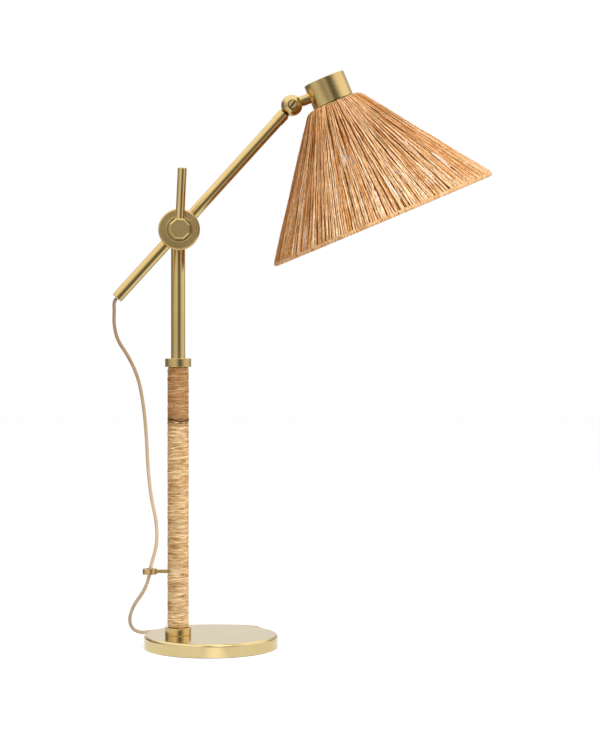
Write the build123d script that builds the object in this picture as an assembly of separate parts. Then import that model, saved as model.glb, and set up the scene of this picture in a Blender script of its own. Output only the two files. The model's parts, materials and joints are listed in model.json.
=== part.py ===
from build123d import *
import math
import os

# Desk lamp: a round weighted base, a raffia-wrapped column, a counter arm in a lever-locked clamp,
# and a raffia shade on a knuckle. Millimetres and degrees. The origin is the centre of the base's
# underside, +Z is up, +X is the side that the shade reaches to, and -Y is the lever's side.

# Base
base_diameter = 150.0
base_height = 15.4
base_edge_radius = 3.0
base_wall = 1.5
skirt_lift = 0.8
pad_thickness = 1.5
pad_margin = 1.0
weight_gap = 0.2
nut_recess_diameter = 30.0
nut_across_flats = 17.0
nut_thickness = 6.0
washer_diameter = 26.0
washer_thickness = 1.5

# Column
column_x = -36.9
stud_diameter = 10.0
stud_plug_length = 14.0
stud_end_gap = 0.5
collar_diameter = 29.4
base_collar_height = 8.4
top_collar_height = 9.5
collar_edge_radius = 0.6
collar_spigot_length = 4.0
post_diameter = 16.0
post_wall = 1.5
sleeve_diameter = 20.5
sleeve_wall = 1.5
wrap_length = 292.0
wrap_diameter = 22.6
strand_diameter = 1.0
strand_turns = 24
strand_clearance = 0.12

# Clamp joint at the top of the post
pivot_height = 468.5
post_head_diameter = 42.0
post_head_thickness = 20.0
post_socket_depth = 8.0
friction_washer_diameter = 36.0
friction_washer_thickness = 1.0
hub_diameter = 42.0
hub_thickness = 18.0
hub_seat_radius = 12.0
wire_pocket_diameter = 20.0
wire_pocket_width = 8.0
disc_diameter = 46.0
disc_thickness = 5.0
disc_bevel = 1.6
bolt_diameter = 8.0
bolt_head_diameter = 14.0
bolt_head_thickness = 4.5
lever_nut_across_flats = 22.5
lever_nut_thickness = 14.0
lever_nut_chamfer = 1.6
lever_nut_front_wall = 2.5
lever_diameter = 10.0
lever_reach = 67.5
lever_lean = 2.75
lever_end_radius = 1.0
lever_seat_depth = 3.0

# Arm
arm_angle = 47.9
arm_upper_reach = 188.3
arm_lower_reach = 101.4
arm_diameter = 12.7
arm_wall = 1.0
ferrule_length = 10.0
ferrule_wall = 0.5
bushing_flange_thickness = 1.0
bushing_flange_diameter = 11.6
bushing_depth = 8.0
inner_lead_diameter = 3.0
inner_lead_bend_radius = 4.5

# Knuckle between arm and head
knuckle_diameter = 24.0
knuckle_flange_gap = 0.8
knuckle_flange_thickness = 1.0
knuckle_spigot_length = 12.0
knuckle_tongue_diameter = 11.0
knuckle_pocket_diameter = 15.0
knuckle_pocket_depth = 6.0
knuckle_washer_thickness = 0.5
knuckle_washer_diameter = 22.0
screw_diameter = 4.0
screw_head_diameter = 9.0
screw_head_thickness = 2.4
screw_recess_diameter = 11.4
screw_slot_width = 1.6
screw_slot_depth = 1.4
screw_slot_angle = 52.0
screw_flat_inset = 2.6
wire_hole_diameter = 6.0

# Head
head_tilt = 23.0
head_reach = 44.9
neck_diameter = 12.0
neck_nipple_diameter = 8.0
neck_nut_across_flats = 13.0
neck_nut_thickness = 3.0
cap_diameter = 47.5
cap_height = 28.0
cap_wall = 1.5
cap_edge_radius = 0.6
holder_stud_diameter = 10.0
holder_stud_engagement = 6.0
holder_top_gap = 3.5
holder_diameter = 33.0
holder_body_length = 40.0
holder_flange_diameter = 43.0
holder_flange_thickness = 3.0
holder_thread_diameter = 38.0
holder_thread_length = 24.0
holder_edge_radius = 2.0
screw_shell_bore = 26.6
screw_shell_wall = 0.75
contact_diameter = 9.0
contact_thickness = 1.5
contact_edge_radius = 0.5
retaining_ring_diameter = 48.0
retaining_ring_height = 6.0
retaining_ring_notches = 12
retaining_notch_diameter = 4.0
knob_drop = 25.85
knob_stem_diameter = 3.5
knob_stem_engagement = 6.0
knob_gap = 1.5
knob_length = 11.0
knob_diameter = 8.6
knob_flat_thickness = 5.0

# Shade
shade_cap_gap = 0.4
shade_height = 139.8
shade_top_radius = 31.6
shade_rim_radius = 131.6
shade_shoulder_radius = 12.0
shade_hole_radius = 22.3
strand_layer = 1.8
strand_flutes = 72
strand_flute_depth = 1.2
strand_taper_start = 8.0
liner_wall = 1.0
rim_binding_diameter = 4.8
ring_wire_diameter = 3.5
top_ring_radius = 24.4
fitter_diameter = 52.0
fitter_thickness = 2.0
spider_spokes = 3
spoke_diameter = 3.5

# Cord clip
clip_height = 86.6
clip_reach = 31.7
clip_diameter = 16.0
clip_hole_diameter = 8.0
clip_thickness = 3.6
clip_ring_height = 6.0
clip_neck_width = 5.5
clip_fillet = 3.0
clip_stud_diameter = 3.2
clip_ring_lap = 0.5

# Cord
cord_diameter = 4.0
cord_gap = 0.45
cord_exit_gap = 0.4
cord_arc_share = 0.45
cord_exit_run = 6.6
hank_base_gap = 1.6
hank_left_angle = -17.0
hank_right_angle = 27.0
hank_fold_diameters = 3.05
hank_loops_low = 3
hank_exit_angle = 130.0
hank_lead_run = 20.0
tie_thickness = 0.4
tie_width = 9.0
plug_start_x = -32.0
plug_start_y = 142.0
plug_relief_length = 20.0
plug_relief_diameter = 7.5
plug_width = 20.0
plug_length = 26.0
plug_edge_radius = 3.5
blade_length = 16.0
blade_width = 6.3
blade_thickness = 1.5
blade_spacing = 12.7

# Fits
running_clearance = 0.05
seat_clearance = 0.05
face_clearance = 0.05

# Heights up the column
collar_bottom = base_height
wrap_bottom = collar_bottom + base_collar_height
wrap_top = wrap_bottom + wrap_length
column = Location((column_x, 0, 0))

# Depths through the clamp joint, from the post towards the lever
head_front_y = -post_head_thickness / 2
washer_front_y = head_front_y - friction_washer_thickness
hub_back_y = washer_front_y - face_clearance
hub_front_y = hub_back_y - hub_thickness
arm_y = (hub_back_y + hub_front_y) / 2
disc_front_y = hub_front_y - disc_thickness
nut_back_y = disc_front_y - face_clearance
nut_front_y = nut_back_y - lever_nut_thickness

# Frames: the clamp joint, the arm with +X up along it, and the head with +X away from the knuckle,
# its +Z up out of the cap and the shade below it
pivot = Location((column_x, 0, pivot_height))
arm = Location((column_x, arm_y, pivot_height), (0, -arm_angle, 0))
knuckle_point = (arm * Location((arm_upper_reach, 0, 0))).position
head = Location(knuckle_point, (0, -head_tilt, 0)) * Location((head_reach, 0, 0))
shade_top = -cap_height / 2 - shade_cap_gap


def save(name, shape):
    """Write one piece of the lamp."""
    export_step(shape.solid(), f"parts/{name}.step")


def rod(diameter, bottom, top):
    """An upright cylinder between two heights."""
    upright = (Align.CENTER, Align.CENTER, Align.MIN)
    return Pos(0, 0, bottom) * Cylinder(diameter / 2, top - bottom, align=upright)


def tube(outer, inner, bottom, top):
    """An upright tube between two heights."""
    return rod(outer, bottom, top) - rod(inner, bottom, top)


def along_y(shape):
    """Turn an upright shape so that its height runs along +Y."""
    return Rot(-90, 0, 0) * shape


def along_x(shape):
    """Turn an upright shape so that its height runs along +X."""
    return Rot(0, 90, 0) * shape


def prism(sides, across_flats, bottom, top):
    """An upright prism with a regular outline, one flat facing +Y."""
    outline = RegularPolygon(across_flats / 2, sides, major_radius=False)
    flat_turn = 90 if sides == 6 else 180 / sides
    return Pos(0, 0, bottom) * extrude(Rot(0, 0, flat_turn) * outline, top - bottom)


def edges_at(shape, height, radius):
    """The round edges of an upright shape at one height and radius."""
    circles = shape.edges().filter_by(GeomType.CIRCLE)
    return [
        e
        for e in circles
        if abs(e.center(CenterOf.BOUNDING_BOX).Z - height) < 0.01 and abs(e.radius - radius) < 0.01
    ]


def biarc(start, start_way, end, end_way):
    """Two tangent arcs that join two points with given directions."""
    span = end - start
    both = start_way + end_way
    a = 2 * (start_way.dot(end_way) - 1)
    b = -2 * span.dot(both)
    c = span.dot(span)
    if abs(a) < 1e-9:
        reach = -c / b
    else:
        reach = (-b - math.sqrt(b * b - 4 * a * c)) / (2 * a)
    first = start + start_way * reach
    last = end - end_way * reach
    middle = (first + last) * 0.5
    middle_way = (last - first).normalized()
    if start_way.cross(middle_way).length < 1e-6 and middle_way.cross(end_way).length < 1e-6:
        return [Line(start, end)]
    arcs = []
    for p, way, q in ((start, start_way, middle), (middle, middle_way, end)):
        straight = (q - p).cross(way).length < 1e-6
        arcs.append(Line(p, q) if straight else TangentArc(p, q, tangent=way))
    return arcs


def joined(stations):
    """The path through stations, each a point and a direction, on biarcs."""
    edges = []
    for (p, way), (q, next_way) in zip(stations, stations[1:]):
        edges += biarc(p, way, q, next_way)
    return Wire(edges)


def swept(path, section, way):
    """Sweep a flat section, drawn about the origin, along a path that starts in a direction."""
    return sweep(Plane(origin=path @ 0, z_dir=way) * section, path=path)


def self_gap(path, diameter, skip):
    """The least gap of a tube to itself, measured on points further than skip apart along it."""
    count = int(path.length / diameter) + 1
    points = [path.position_at(i / count) for i in range(count + 1)]
    step = path.length / count
    apart = int(skip / step) + 1
    least = min((p - q).length for i, p in enumerate(points) for q in points[i + apart :])
    return least - diameter


def report_tube(name, solid, path, diameter):
    """Print a tube's length and its volume against section times length."""
    ideal = math.pi * diameter**2 / 4 * path.length
    print(f"{name}: length {path.length:.1f} mm, volume {solid.volume / ideal:.4f} of section times length")


# Base
def make_base():
    radius = base_diameter / 2
    inner = base_diameter - 2 * base_wall
    ceiling = base_height - base_wall
    hole = stud_diameter + 2 * seat_clearance
    shell = rod(base_diameter, skirt_lift, base_height)
    shell = fillet(edges_at(shell, base_height, radius), base_edge_radius)
    shell -= rod(inner, skirt_lift, ceiling)
    shell -= column * rod(hole, ceiling, base_height)
    save("base_shell", shell)

    weight_diameter = inner - 2 * weight_gap
    nut_bottom = pad_thickness + 2 * stud_end_gap
    washer_bottom = nut_bottom + nut_thickness
    recess_top = washer_bottom + washer_thickness
    weight = rod(weight_diameter, pad_thickness, ceiling)
    weight = chamfer(edges_at(weight, ceiling, weight_diameter / 2), base_edge_radius - base_wall)
    weight -= column * rod(nut_recess_diameter, pad_thickness, recess_top)
    weight -= column * rod(hole, pad_thickness, ceiling)
    save("base_weight", weight)

    save("base_pad", rod(inner - 2 * pad_margin, 0, pad_thickness))
    save("base_washer", column * tube(washer_diameter, hole, washer_bottom, recess_top))
    nut = prism(6, nut_across_flats, nut_bottom, washer_bottom)
    nut -= rod(hole, nut_bottom, washer_bottom)
    save("base_nut", column * nut)


# Column
def make_column():
    post_bore = post_diameter - 2 * post_wall
    post_fit = post_diameter + 2 * seat_clearance
    sleeve_bore = sleeve_diameter - 2 * sleeve_wall
    spigot = sleeve_bore - 2 * seat_clearance
    stud_bottom = pad_thickness + stud_end_gap
    stud = rod(stud_diameter, stud_bottom, collar_bottom)
    stud += rod(post_bore - 2 * seat_clearance, collar_bottom, collar_bottom + stud_plug_length)
    save("column_stud", column * stud)

    def collar(bottom, height, spigot_bottom):
        body = rod(collar_diameter, bottom, bottom + height)
        for rim in (bottom, bottom + height):
            body = fillet(edges_at(body, rim, collar_diameter / 2), collar_edge_radius)
        body += rod(spigot, spigot_bottom, spigot_bottom + collar_spigot_length)
        return column * (body - rod(post_fit, bottom - collar_diameter, bottom + collar_diameter))

    save("base_collar", collar(collar_bottom, base_collar_height, wrap_bottom))
    save("top_collar", collar(wrap_top, top_collar_height, wrap_top - collar_spigot_length))

    post_top = pivot_height - post_head_diameter / 2 + post_socket_depth
    save("post_tube", column * tube(post_diameter, post_bore, collar_bottom, post_top))

    clip_hole = along_x(rod(clip_stud_diameter + 2 * seat_clearance, -collar_diameter, 0))
    clip_hole = Pos(0, 0, clip_height) * clip_hole
    sleeve = tube(sleeve_diameter, sleeve_bore, wrap_bottom, wrap_top)
    save("column_sleeve", column * (sleeve - clip_hole))
    core = tube(wrap_diameter, sleeve_diameter, wrap_bottom, wrap_top)
    save("raffia_wrap", column * (core - clip_hole))
    save("raffia_winding", column * winding())


def winding():
    """The outer turns of the wrap: one strand round the wound core, clear of the clip's neck."""
    radius = (wrap_diameter + strand_diameter) / 2 + strand_clearance
    pitch = (wrap_length - 2 * strand_diameter) / (strand_turns + 1)
    clip_turns = (clip_height - wrap_bottom - strand_diameter) / pitch
    phase = 180 - 360 * (clip_turns - 0.5)
    stations = []
    for i in range(2 * strand_turns + 1):
        angle = math.radians(phase + 180 * (i + 1))
        z = wrap_bottom + strand_diameter + pitch * (i + 1) / 2
        way = Vector(-radius * math.sin(angle), radius * math.cos(angle), pitch / (2 * math.pi))
        stations.append((Vector(radius * math.cos(angle), radius * math.sin(angle), z), way.normalized()))
    first, first_way = stations[0]
    last, last_way = stations[-1]
    stations.insert(0, (first - first_way * strand_diameter, first_way))
    stations.append((last + last_way * strand_diameter, last_way))
    path = joined(stations)
    section = RegularPolygon(strand_diameter / 2, 6)
    turns = swept(path, section, first_way)
    print(f"raffia_winding: least gap to itself {self_gap(path, strand_diameter, pitch * 2):.2f} mm")
    return turns


# Clamp joint
def make_clamp():
    bolt_fit = bolt_diameter + 2 * running_clearance
    through = along_y(rod(bolt_fit, nut_front_y, post_head_thickness))
    back = post_head_thickness / 2
    post_head = along_y(rod(post_head_diameter, -back, back))
    post_head = chamfer(post_head.edges().filter_by(GeomType.CIRCLE), disc_bevel / 2)
    socket_bottom = -post_head_diameter
    socket_top = post_socket_depth - post_head_diameter / 2
    post_head -= rod(post_diameter + 2 * seat_clearance, socket_bottom, socket_top)
    save("post_head", pivot * (post_head - through))

    washer = along_y(rod(friction_washer_diameter, washer_front_y, head_front_y))
    save("friction_washer", pivot * (washer - through))

    bolt = along_y(rod(bolt_diameter, nut_front_y + lever_nut_front_wall, back))
    bolt_head = rod(bolt_head_diameter, back, back + bolt_head_thickness)
    bolt_head = fillet(edges_at(bolt_head, back + bolt_head_thickness, bolt_head_diameter / 2), disc_bevel)
    save("pivot_bolt", pivot * (bolt + along_y(bolt_head)))

    disc = rod(disc_diameter, -hub_front_y, -disc_front_y)
    disc = chamfer(edges_at(disc, -disc_front_y, disc_diameter / 2), disc_bevel)
    disc = Rot(90, 0, 0) * disc
    save("front_disc", pivot * (disc - through))

    arm_fit = arm_diameter + 2 * seat_clearance
    arm_bore = arm_diameter - 2 * arm_wall
    hub = along_y(rod(hub_diameter, -hub_thickness / 2, hub_thickness / 2))
    for way in (90, -90):
        hub -= Rot(0, way, 0) * rod(arm_fit, hub_seat_radius, hub_diameter)
    hub -= along_x(rod(arm_bore, -hub_seat_radius, hub_seat_radius))
    hub -= along_y(rod(wire_pocket_diameter, -wire_pocket_width / 2, wire_pocket_width / 2))
    hub -= along_y(rod(bolt_fit, -hub_thickness, hub_thickness))
    save("arm_hub", arm * hub)

    nut = prism(8, lever_nut_across_flats, -nut_back_y, -nut_front_y)
    nut = chamfer(nut.faces().sort_by(Axis.Z)[-1].edges(), lever_nut_chamfer)
    nut -= rod(bolt_fit, -nut_back_y, -nut_front_y - lever_nut_front_wall + face_clearance)
    nut = Rot(90, 0, 0) * nut
    lever_y = (nut_back_y + nut_front_y) / 2
    seat = lever_nut_across_flats / 2 - lever_seat_depth
    nut -= Pos(0, lever_y, 0) * rod(lever_diameter + 2 * seat_clearance, seat, lever_nut_across_flats)
    lean = pivot * Rot(0, lever_lean, 0)
    save("lever_nut", lean * nut)
    lever = rod(lever_diameter, seat, lever_reach)
    lever = fillet(edges_at(lever, lever_reach, lever_diameter / 2), lever_end_radius)
    save("lever_rod", lean * Pos(0, lever_y, 0) * lever)


# Arm
def make_arm():
    arm_bore = arm_diameter - 2 * arm_wall
    tube_end = arm_upper_reach - knuckle_diameter / 2 - knuckle_flange_gap - knuckle_flange_thickness
    save("arm_upper_tube", arm * along_x(tube(arm_diameter, arm_bore, hub_seat_radius, tube_end)))
    save("arm_lower_tube", arm * along_x(tube(arm_diameter, arm_bore, -arm_lower_reach, -hub_seat_radius)))

    ferrule_bore = arm_diameter + 2 * seat_clearance
    ferrule = tube(arm_diameter + 2 * ferrule_wall, ferrule_bore, tube_end - ferrule_length, tube_end)
    save("arm_ferrule", arm * along_x(ferrule))

    flange_end = -arm_lower_reach - bushing_flange_thickness
    bushing = rod(bushing_flange_diameter, flange_end, -arm_lower_reach)
    bushing = fillet(edges_at(bushing, flange_end, bushing_flange_diameter / 2), bushing_flange_thickness / 2)
    bushing += rod(arm_bore - 2 * seat_clearance, -arm_lower_reach, bushing_depth - arm_lower_reach)
    bushing -= rod(cord_diameter + 2 * seat_clearance, flange_end, bushing_depth - arm_lower_reach)
    save("arm_end_bushing", arm * along_x(bushing))

    side_step = (bolt_diameter + inner_lead_diameter) / 2 + 4 * face_clearance
    pass_by = bolt_diameter / 2 + 2 * face_clearance
    bend = wire_pocket_diameter / 2 + inner_lead_diameter
    lead_end = arm_upper_reach - knuckle_diameter / 2 - knuckle_spigot_length
    route = [
        (bushing_depth - arm_lower_reach, 0, 0),
        (-bend, 0, 0),
        (-pass_by, 0, side_step),
        (pass_by, 0, side_step),
        (bend, 0, 0),
        (lead_end, 0, 0),
    ]
    path = FilletPolyline(*route, radius=inner_lead_bend_radius)
    save("inner_lead", arm * swept(path, Circle(inner_lead_diameter / 2), Vector(1, 0, 0)))


# Knuckle: the rear half stays on the arm and the front half carries the neck
def make_knuckle():
    radius = knuckle_diameter / 2
    flange_start = radius + knuckle_flange_gap
    flange_end = flange_start + knuckle_flange_thickness
    half_washer = knuckle_washer_thickness / 2
    pocket = rod(knuckle_pocket_diameter, -knuckle_pocket_depth, knuckle_pocket_depth)
    rear_room = Pos(0, half_washer + radius, 0) * Box(4 * radius, 2 * radius, 2 * radius)
    front_room = Pos(0, -half_washer - face_clearance - radius, 0) * Box(4 * radius, 2 * radius, 2 * radius)
    ball = Sphere(radius)
    tongue = along_x(rod(knuckle_tongue_diameter, 0, flange_start + knuckle_flange_thickness / 2))
    screw_fit = screw_diameter + 2 * running_clearance
    screw_hole = along_y(rod(screw_fit, -radius, radius))
    flat_depth = radius - screw_flat_inset

    arm_half = (ball + Rot(0, 180, 0) * tongue) & rear_room
    collar = along_x(rod(arm_diameter, -flange_end, -flange_start))
    arm_bore = arm_diameter - 2 * arm_wall
    collar += along_x(rod(arm_bore - 2 * seat_clearance, -flange_end - knuckle_spigot_length, -flange_end))
    arm_half += collar
    arm_half -= along_y(pocket)
    arm_half -= along_x(rod(wire_hole_diameter, -flange_end - knuckle_spigot_length, 0))
    arm_half -= screw_hole
    at_arm = Location(knuckle_point, (0, -arm_angle, 0))
    save("knuckle_arm_half", at_arm * arm_half)

    washer = along_y(tube(knuckle_washer_diameter, knuckle_pocket_diameter, -half_washer, half_washer))
    save("knuckle_washer", at_arm * washer)

    screw_top = flat_depth + screw_head_thickness
    screw = rod(screw_diameter, -flat_depth, flat_depth + screw_head_thickness / 3)
    screw_head = rod(screw_head_diameter, flat_depth + face_clearance, screw_top)
    screw_head = fillet(edges_at(screw_head, screw_top, screw_head_diameter / 2), screw_head_thickness / 3)
    slot = Pos(0, 0, screw_top - screw_slot_depth / 2)
    screw_head -= slot * Box(2 * screw_head_diameter, screw_slot_width, screw_slot_depth)
    screw = Rot(90, 0, 0) * (screw + screw_head)
    save("knuckle_screw", Location(knuckle_point) * Rot(0, -screw_slot_angle, 0) * screw)

    head_half = (ball + tongue) & front_room
    cap_wall_x = head_reach - cap_diameter / 2
    neck = along_x(rod(neck_diameter, flange_start, cap_wall_x + cap_wall))
    neck -= Pos(head_reach, 0, 0) * rod(cap_diameter, -cap_height, cap_height)
    nipple_end = cap_wall_x + cap_wall + neck_nut_thickness
    neck += along_x(rod(neck_nipple_diameter, flange_start, nipple_end))
    head_half += neck
    head_half -= along_y(pocket)
    head_half -= along_x(rod(wire_hole_diameter, 0, nipple_end))
    head_half -= screw_hole
    head_half -= along_y(rod(screw_recess_diameter, -2 * radius, -flat_depth))
    at_head = Location(knuckle_point, (0, -head_tilt, 0))
    save("knuckle_head_half", at_head * head_half)


# Head
def make_head():
    half = cap_height / 2
    cap_bore = cap_diameter - 2 * cap_wall
    nipple_fit = neck_nipple_diameter + 2 * seat_clearance
    nipple_way = along_x(rod(nipple_fit, -cap_diameter, 0))
    cap = rod(cap_diameter, -half, half)
    cap = fillet(edges_at(cap, half, cap_diameter / 2), cap_edge_radius)
    cap -= rod(cap_bore, -half, half - cap_wall)
    save("socket_cap", head * (cap - nipple_way))

    nut_inner = cap_bore / 2 - neck_nut_thickness
    nut = along_x(prism(6, neck_nut_across_flats, -cap_bore, -nut_inner))
    nut &= rod(cap_bore - 2 * seat_clearance, -half, half)
    save("neck_nut", head * (nut - nipple_way))

    holder_top = half - cap_wall - holder_top_gap
    flange_top = holder_top - holder_body_length
    thread_top = flange_top - holder_flange_thickness
    thread_end = thread_top - holder_thread_length
    stud_bottom = holder_top - holder_stud_engagement
    wire_bore = holder_stud_diameter - 2 * cap_wall
    save("holder_stud", head * tube(holder_stud_diameter, wire_bore, stud_bottom, half - cap_wall))

    shell_outer = screw_shell_bore + 2 * screw_shell_wall
    shell_bore = shell_outer + 2 * seat_clearance
    body = rod(holder_diameter, flange_top, holder_top)
    body = fillet(edges_at(body, holder_top, holder_diameter / 2), holder_edge_radius)
    body += rod(holder_flange_diameter, thread_top, flange_top)
    body += rod(holder_thread_diameter, thread_end, thread_top)
    body -= rod(shell_bore, thread_end, thread_top)
    body -= rod(holder_stud_diameter + 2 * seat_clearance, stud_bottom, holder_top)
    knob_way = Pos(0, 0, -knob_drop) * Rot(90, 0, 0)
    knob_seat = holder_diameter / 2 - knob_stem_engagement
    knob_fit = knob_stem_diameter + 2 * running_clearance
    body -= knob_way * rod(knob_fit, knob_seat - face_clearance, holder_diameter)
    contact_top = thread_top + contact_thickness
    body -= rod(contact_diameter + 2 * seat_clearance, thread_top, contact_top)
    save("lampholder_body", head * body)

    save("screw_shell", head * tube(shell_outer, screw_shell_bore, thread_end, thread_top))
    contact = rod(contact_diameter, thread_top, contact_top)
    contact = fillet(edges_at(contact, thread_top, contact_diameter / 2), contact_edge_radius)
    save("centre_contact", head * contact)

    knob_start = holder_diameter / 2 + knob_gap
    knob = rod(knob_diameter, knob_start, knob_start + knob_length)
    blade = Pos(0, 0, knob_start + knob_length / 2) * Box(2 * knob_diameter, knob_flat_thickness, knob_length)
    knob_root = rod(knob_diameter, knob_start, knob_start + knob_gap)
    knob = (knob & blade) + knob_root + rod(knob_stem_diameter, knob_seat, knob_start)
    save("switch_knob", head * knob_way * knob)

    ring_top = thread_top - fitter_thickness
    ring_bottom = ring_top - retaining_ring_height
    thread_fit = holder_thread_diameter + 2 * seat_clearance
    ring = tube(retaining_ring_diameter, thread_fit, ring_bottom, ring_top)
    notch = rod(retaining_notch_diameter, ring_bottom, ring_top)
    ring -= [loc * notch for loc in PolarLocations(retaining_ring_diameter / 2, retaining_ring_notches)]
    save("retaining_ring", head * ring)
    return thread_top


# Shade
def bell(inset, bottom):
    """The shade's solid form, drawn in by an inset from its outer surface, down to a height."""
    slope = (shade_rim_radius - shade_top_radius) / shade_height
    drawn_in = inset * math.hypot(1, slope)
    top = shade_top - inset
    top_radius = shade_top_radius + slope * inset - drawn_in
    bottom_radius = shade_top_radius + slope * (shade_top - bottom) - drawn_in
    outline = Polyline((0, top), (top_radius, top), (bottom_radius, bottom), (0, bottom), close=True)
    half = make_face(Plane.XZ * outline)
    shoulder = half.vertices().sort_by_distance((top_radius, 0, top))[0]
    half = fillet(shoulder, shade_shoulder_radius - inset)
    return revolve(half, Axis.Z)


def scallops(radius, height):
    """A ring of raised strands in plan, as arcs that meet in valleys."""
    step = 2 * math.pi / strand_flutes
    valley = radius - strand_flute_depth

    def at(r, angle):
        return (r * math.cos(angle), r * math.sin(angle), height)

    arcs = [
        ThreePointArc(at(valley, i * step), at(radius, (i + 0.5) * step), at(valley, (i + 1) * step))
        for i in range(strand_flutes)
    ]
    return make_face(arcs)


def make_shade(thread_top):
    slope = (shade_rim_radius - shade_top_radius) / shade_height
    bottom = shade_top - shade_height
    flute_top = shade_top - strand_taper_start
    hole = rod(2 * shade_hole_radius, bottom, shade_top + cap_height)
    crown = bell(0, flute_top)
    upper = scallops(shade_top_radius + slope * strand_taper_start, flute_top)
    lower = scallops(shade_rim_radius, bottom)
    flutes = loft([lower, upper], ruled=True)
    skin = crown + flutes
    skin = skin - bell(strand_layer, bottom) - hole
    save("raffia_skin", head * skin)

    liner = bell(strand_layer, bottom) - bell(strand_layer + liner_wall, bottom) - hole
    save("shade_liner", head * liner)

    binding_radius = shade_rim_radius - strand_layer
    binding = Torus(binding_radius, rim_binding_diameter / 2)
    save("rim_binding", head * Pos(0, 0, bottom - rim_binding_diameter / 2) * binding)

    inset = strand_layer + liner_wall
    wire = ring_wire_diameter / 2
    ring_height = bottom + ring_wire_diameter
    wall = shade_top_radius + slope * (shade_top - ring_height)
    ring_radius = wall - (inset + wire + seat_clearance) * math.hypot(1, slope)
    save("bottom_ring", head * Pos(0, 0, ring_height) * Torus(ring_radius, wire))

    top_ring_height = shade_top - inset - wire
    fitter_bottom = thread_top - fitter_thickness
    spider = tube(fitter_diameter, holder_thread_diameter + 2 * seat_clearance, fitter_bottom, thread_top)
    spider += Pos(0, 0, top_ring_height) * Torus(top_ring_radius, wire)
    spoke_bottom = Vector((fitter_diameter - spoke_diameter) / 2, 0, thread_top - fitter_thickness / 2)
    spoke_top = Vector(top_ring_radius, 0, top_ring_height)
    spoke_way = spoke_top - spoke_bottom
    spoke = Plane(origin=spoke_bottom, z_dir=spoke_way) * rod(spoke_diameter, 0, spoke_way.length)
    for i in range(spider_spokes):
        spider += Rot(0, 0, 90 + i * 360 / spider_spokes) * spoke
    save("shade_spider", head * spider)


# Cord clip
def make_clip():
    ring = Pos(-clip_reach, 0) * Circle(clip_diameter / 2 - clip_ring_lap)
    neck_end = wrap_diameter / 2
    neck_length = clip_reach - neck_end
    neck = Pos(-neck_end - neck_length / 2, 0) * Rectangle(neck_length, clip_neck_width)
    outline = ring + neck
    meet = [v for v in outline.vertices() if -clip_reach < v.X < -neck_end - neck_length / 8]
    outline = fillet(meet, clip_fillet)
    plate = extrude(outline, clip_thickness / 2, both=True)
    plate -= rod(wrap_diameter, -clip_thickness, clip_thickness)
    half_height = clip_ring_height / 2
    plate += Pos(-clip_reach, 0) * rod(clip_diameter, -half_height, half_height)
    plate -= Pos(-clip_reach, 0) * rod(clip_hole_diameter, -clip_ring_height, clip_ring_height)
    plate += along_x(rod(clip_stud_diameter, -clip_reach + clip_diameter / 2, -post_diameter / 2))
    save("cord_clip", column * Pos(0, 0, clip_height) * plate)


# Cord
def polar(radius, angle, z):
    """A point round the base, its angle counted from +Y towards +X, and the way round there."""
    a = math.radians(angle)
    return Vector(radius * math.sin(a), radius * math.cos(a), z), Vector(math.cos(a), -math.sin(a), 0)


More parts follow.
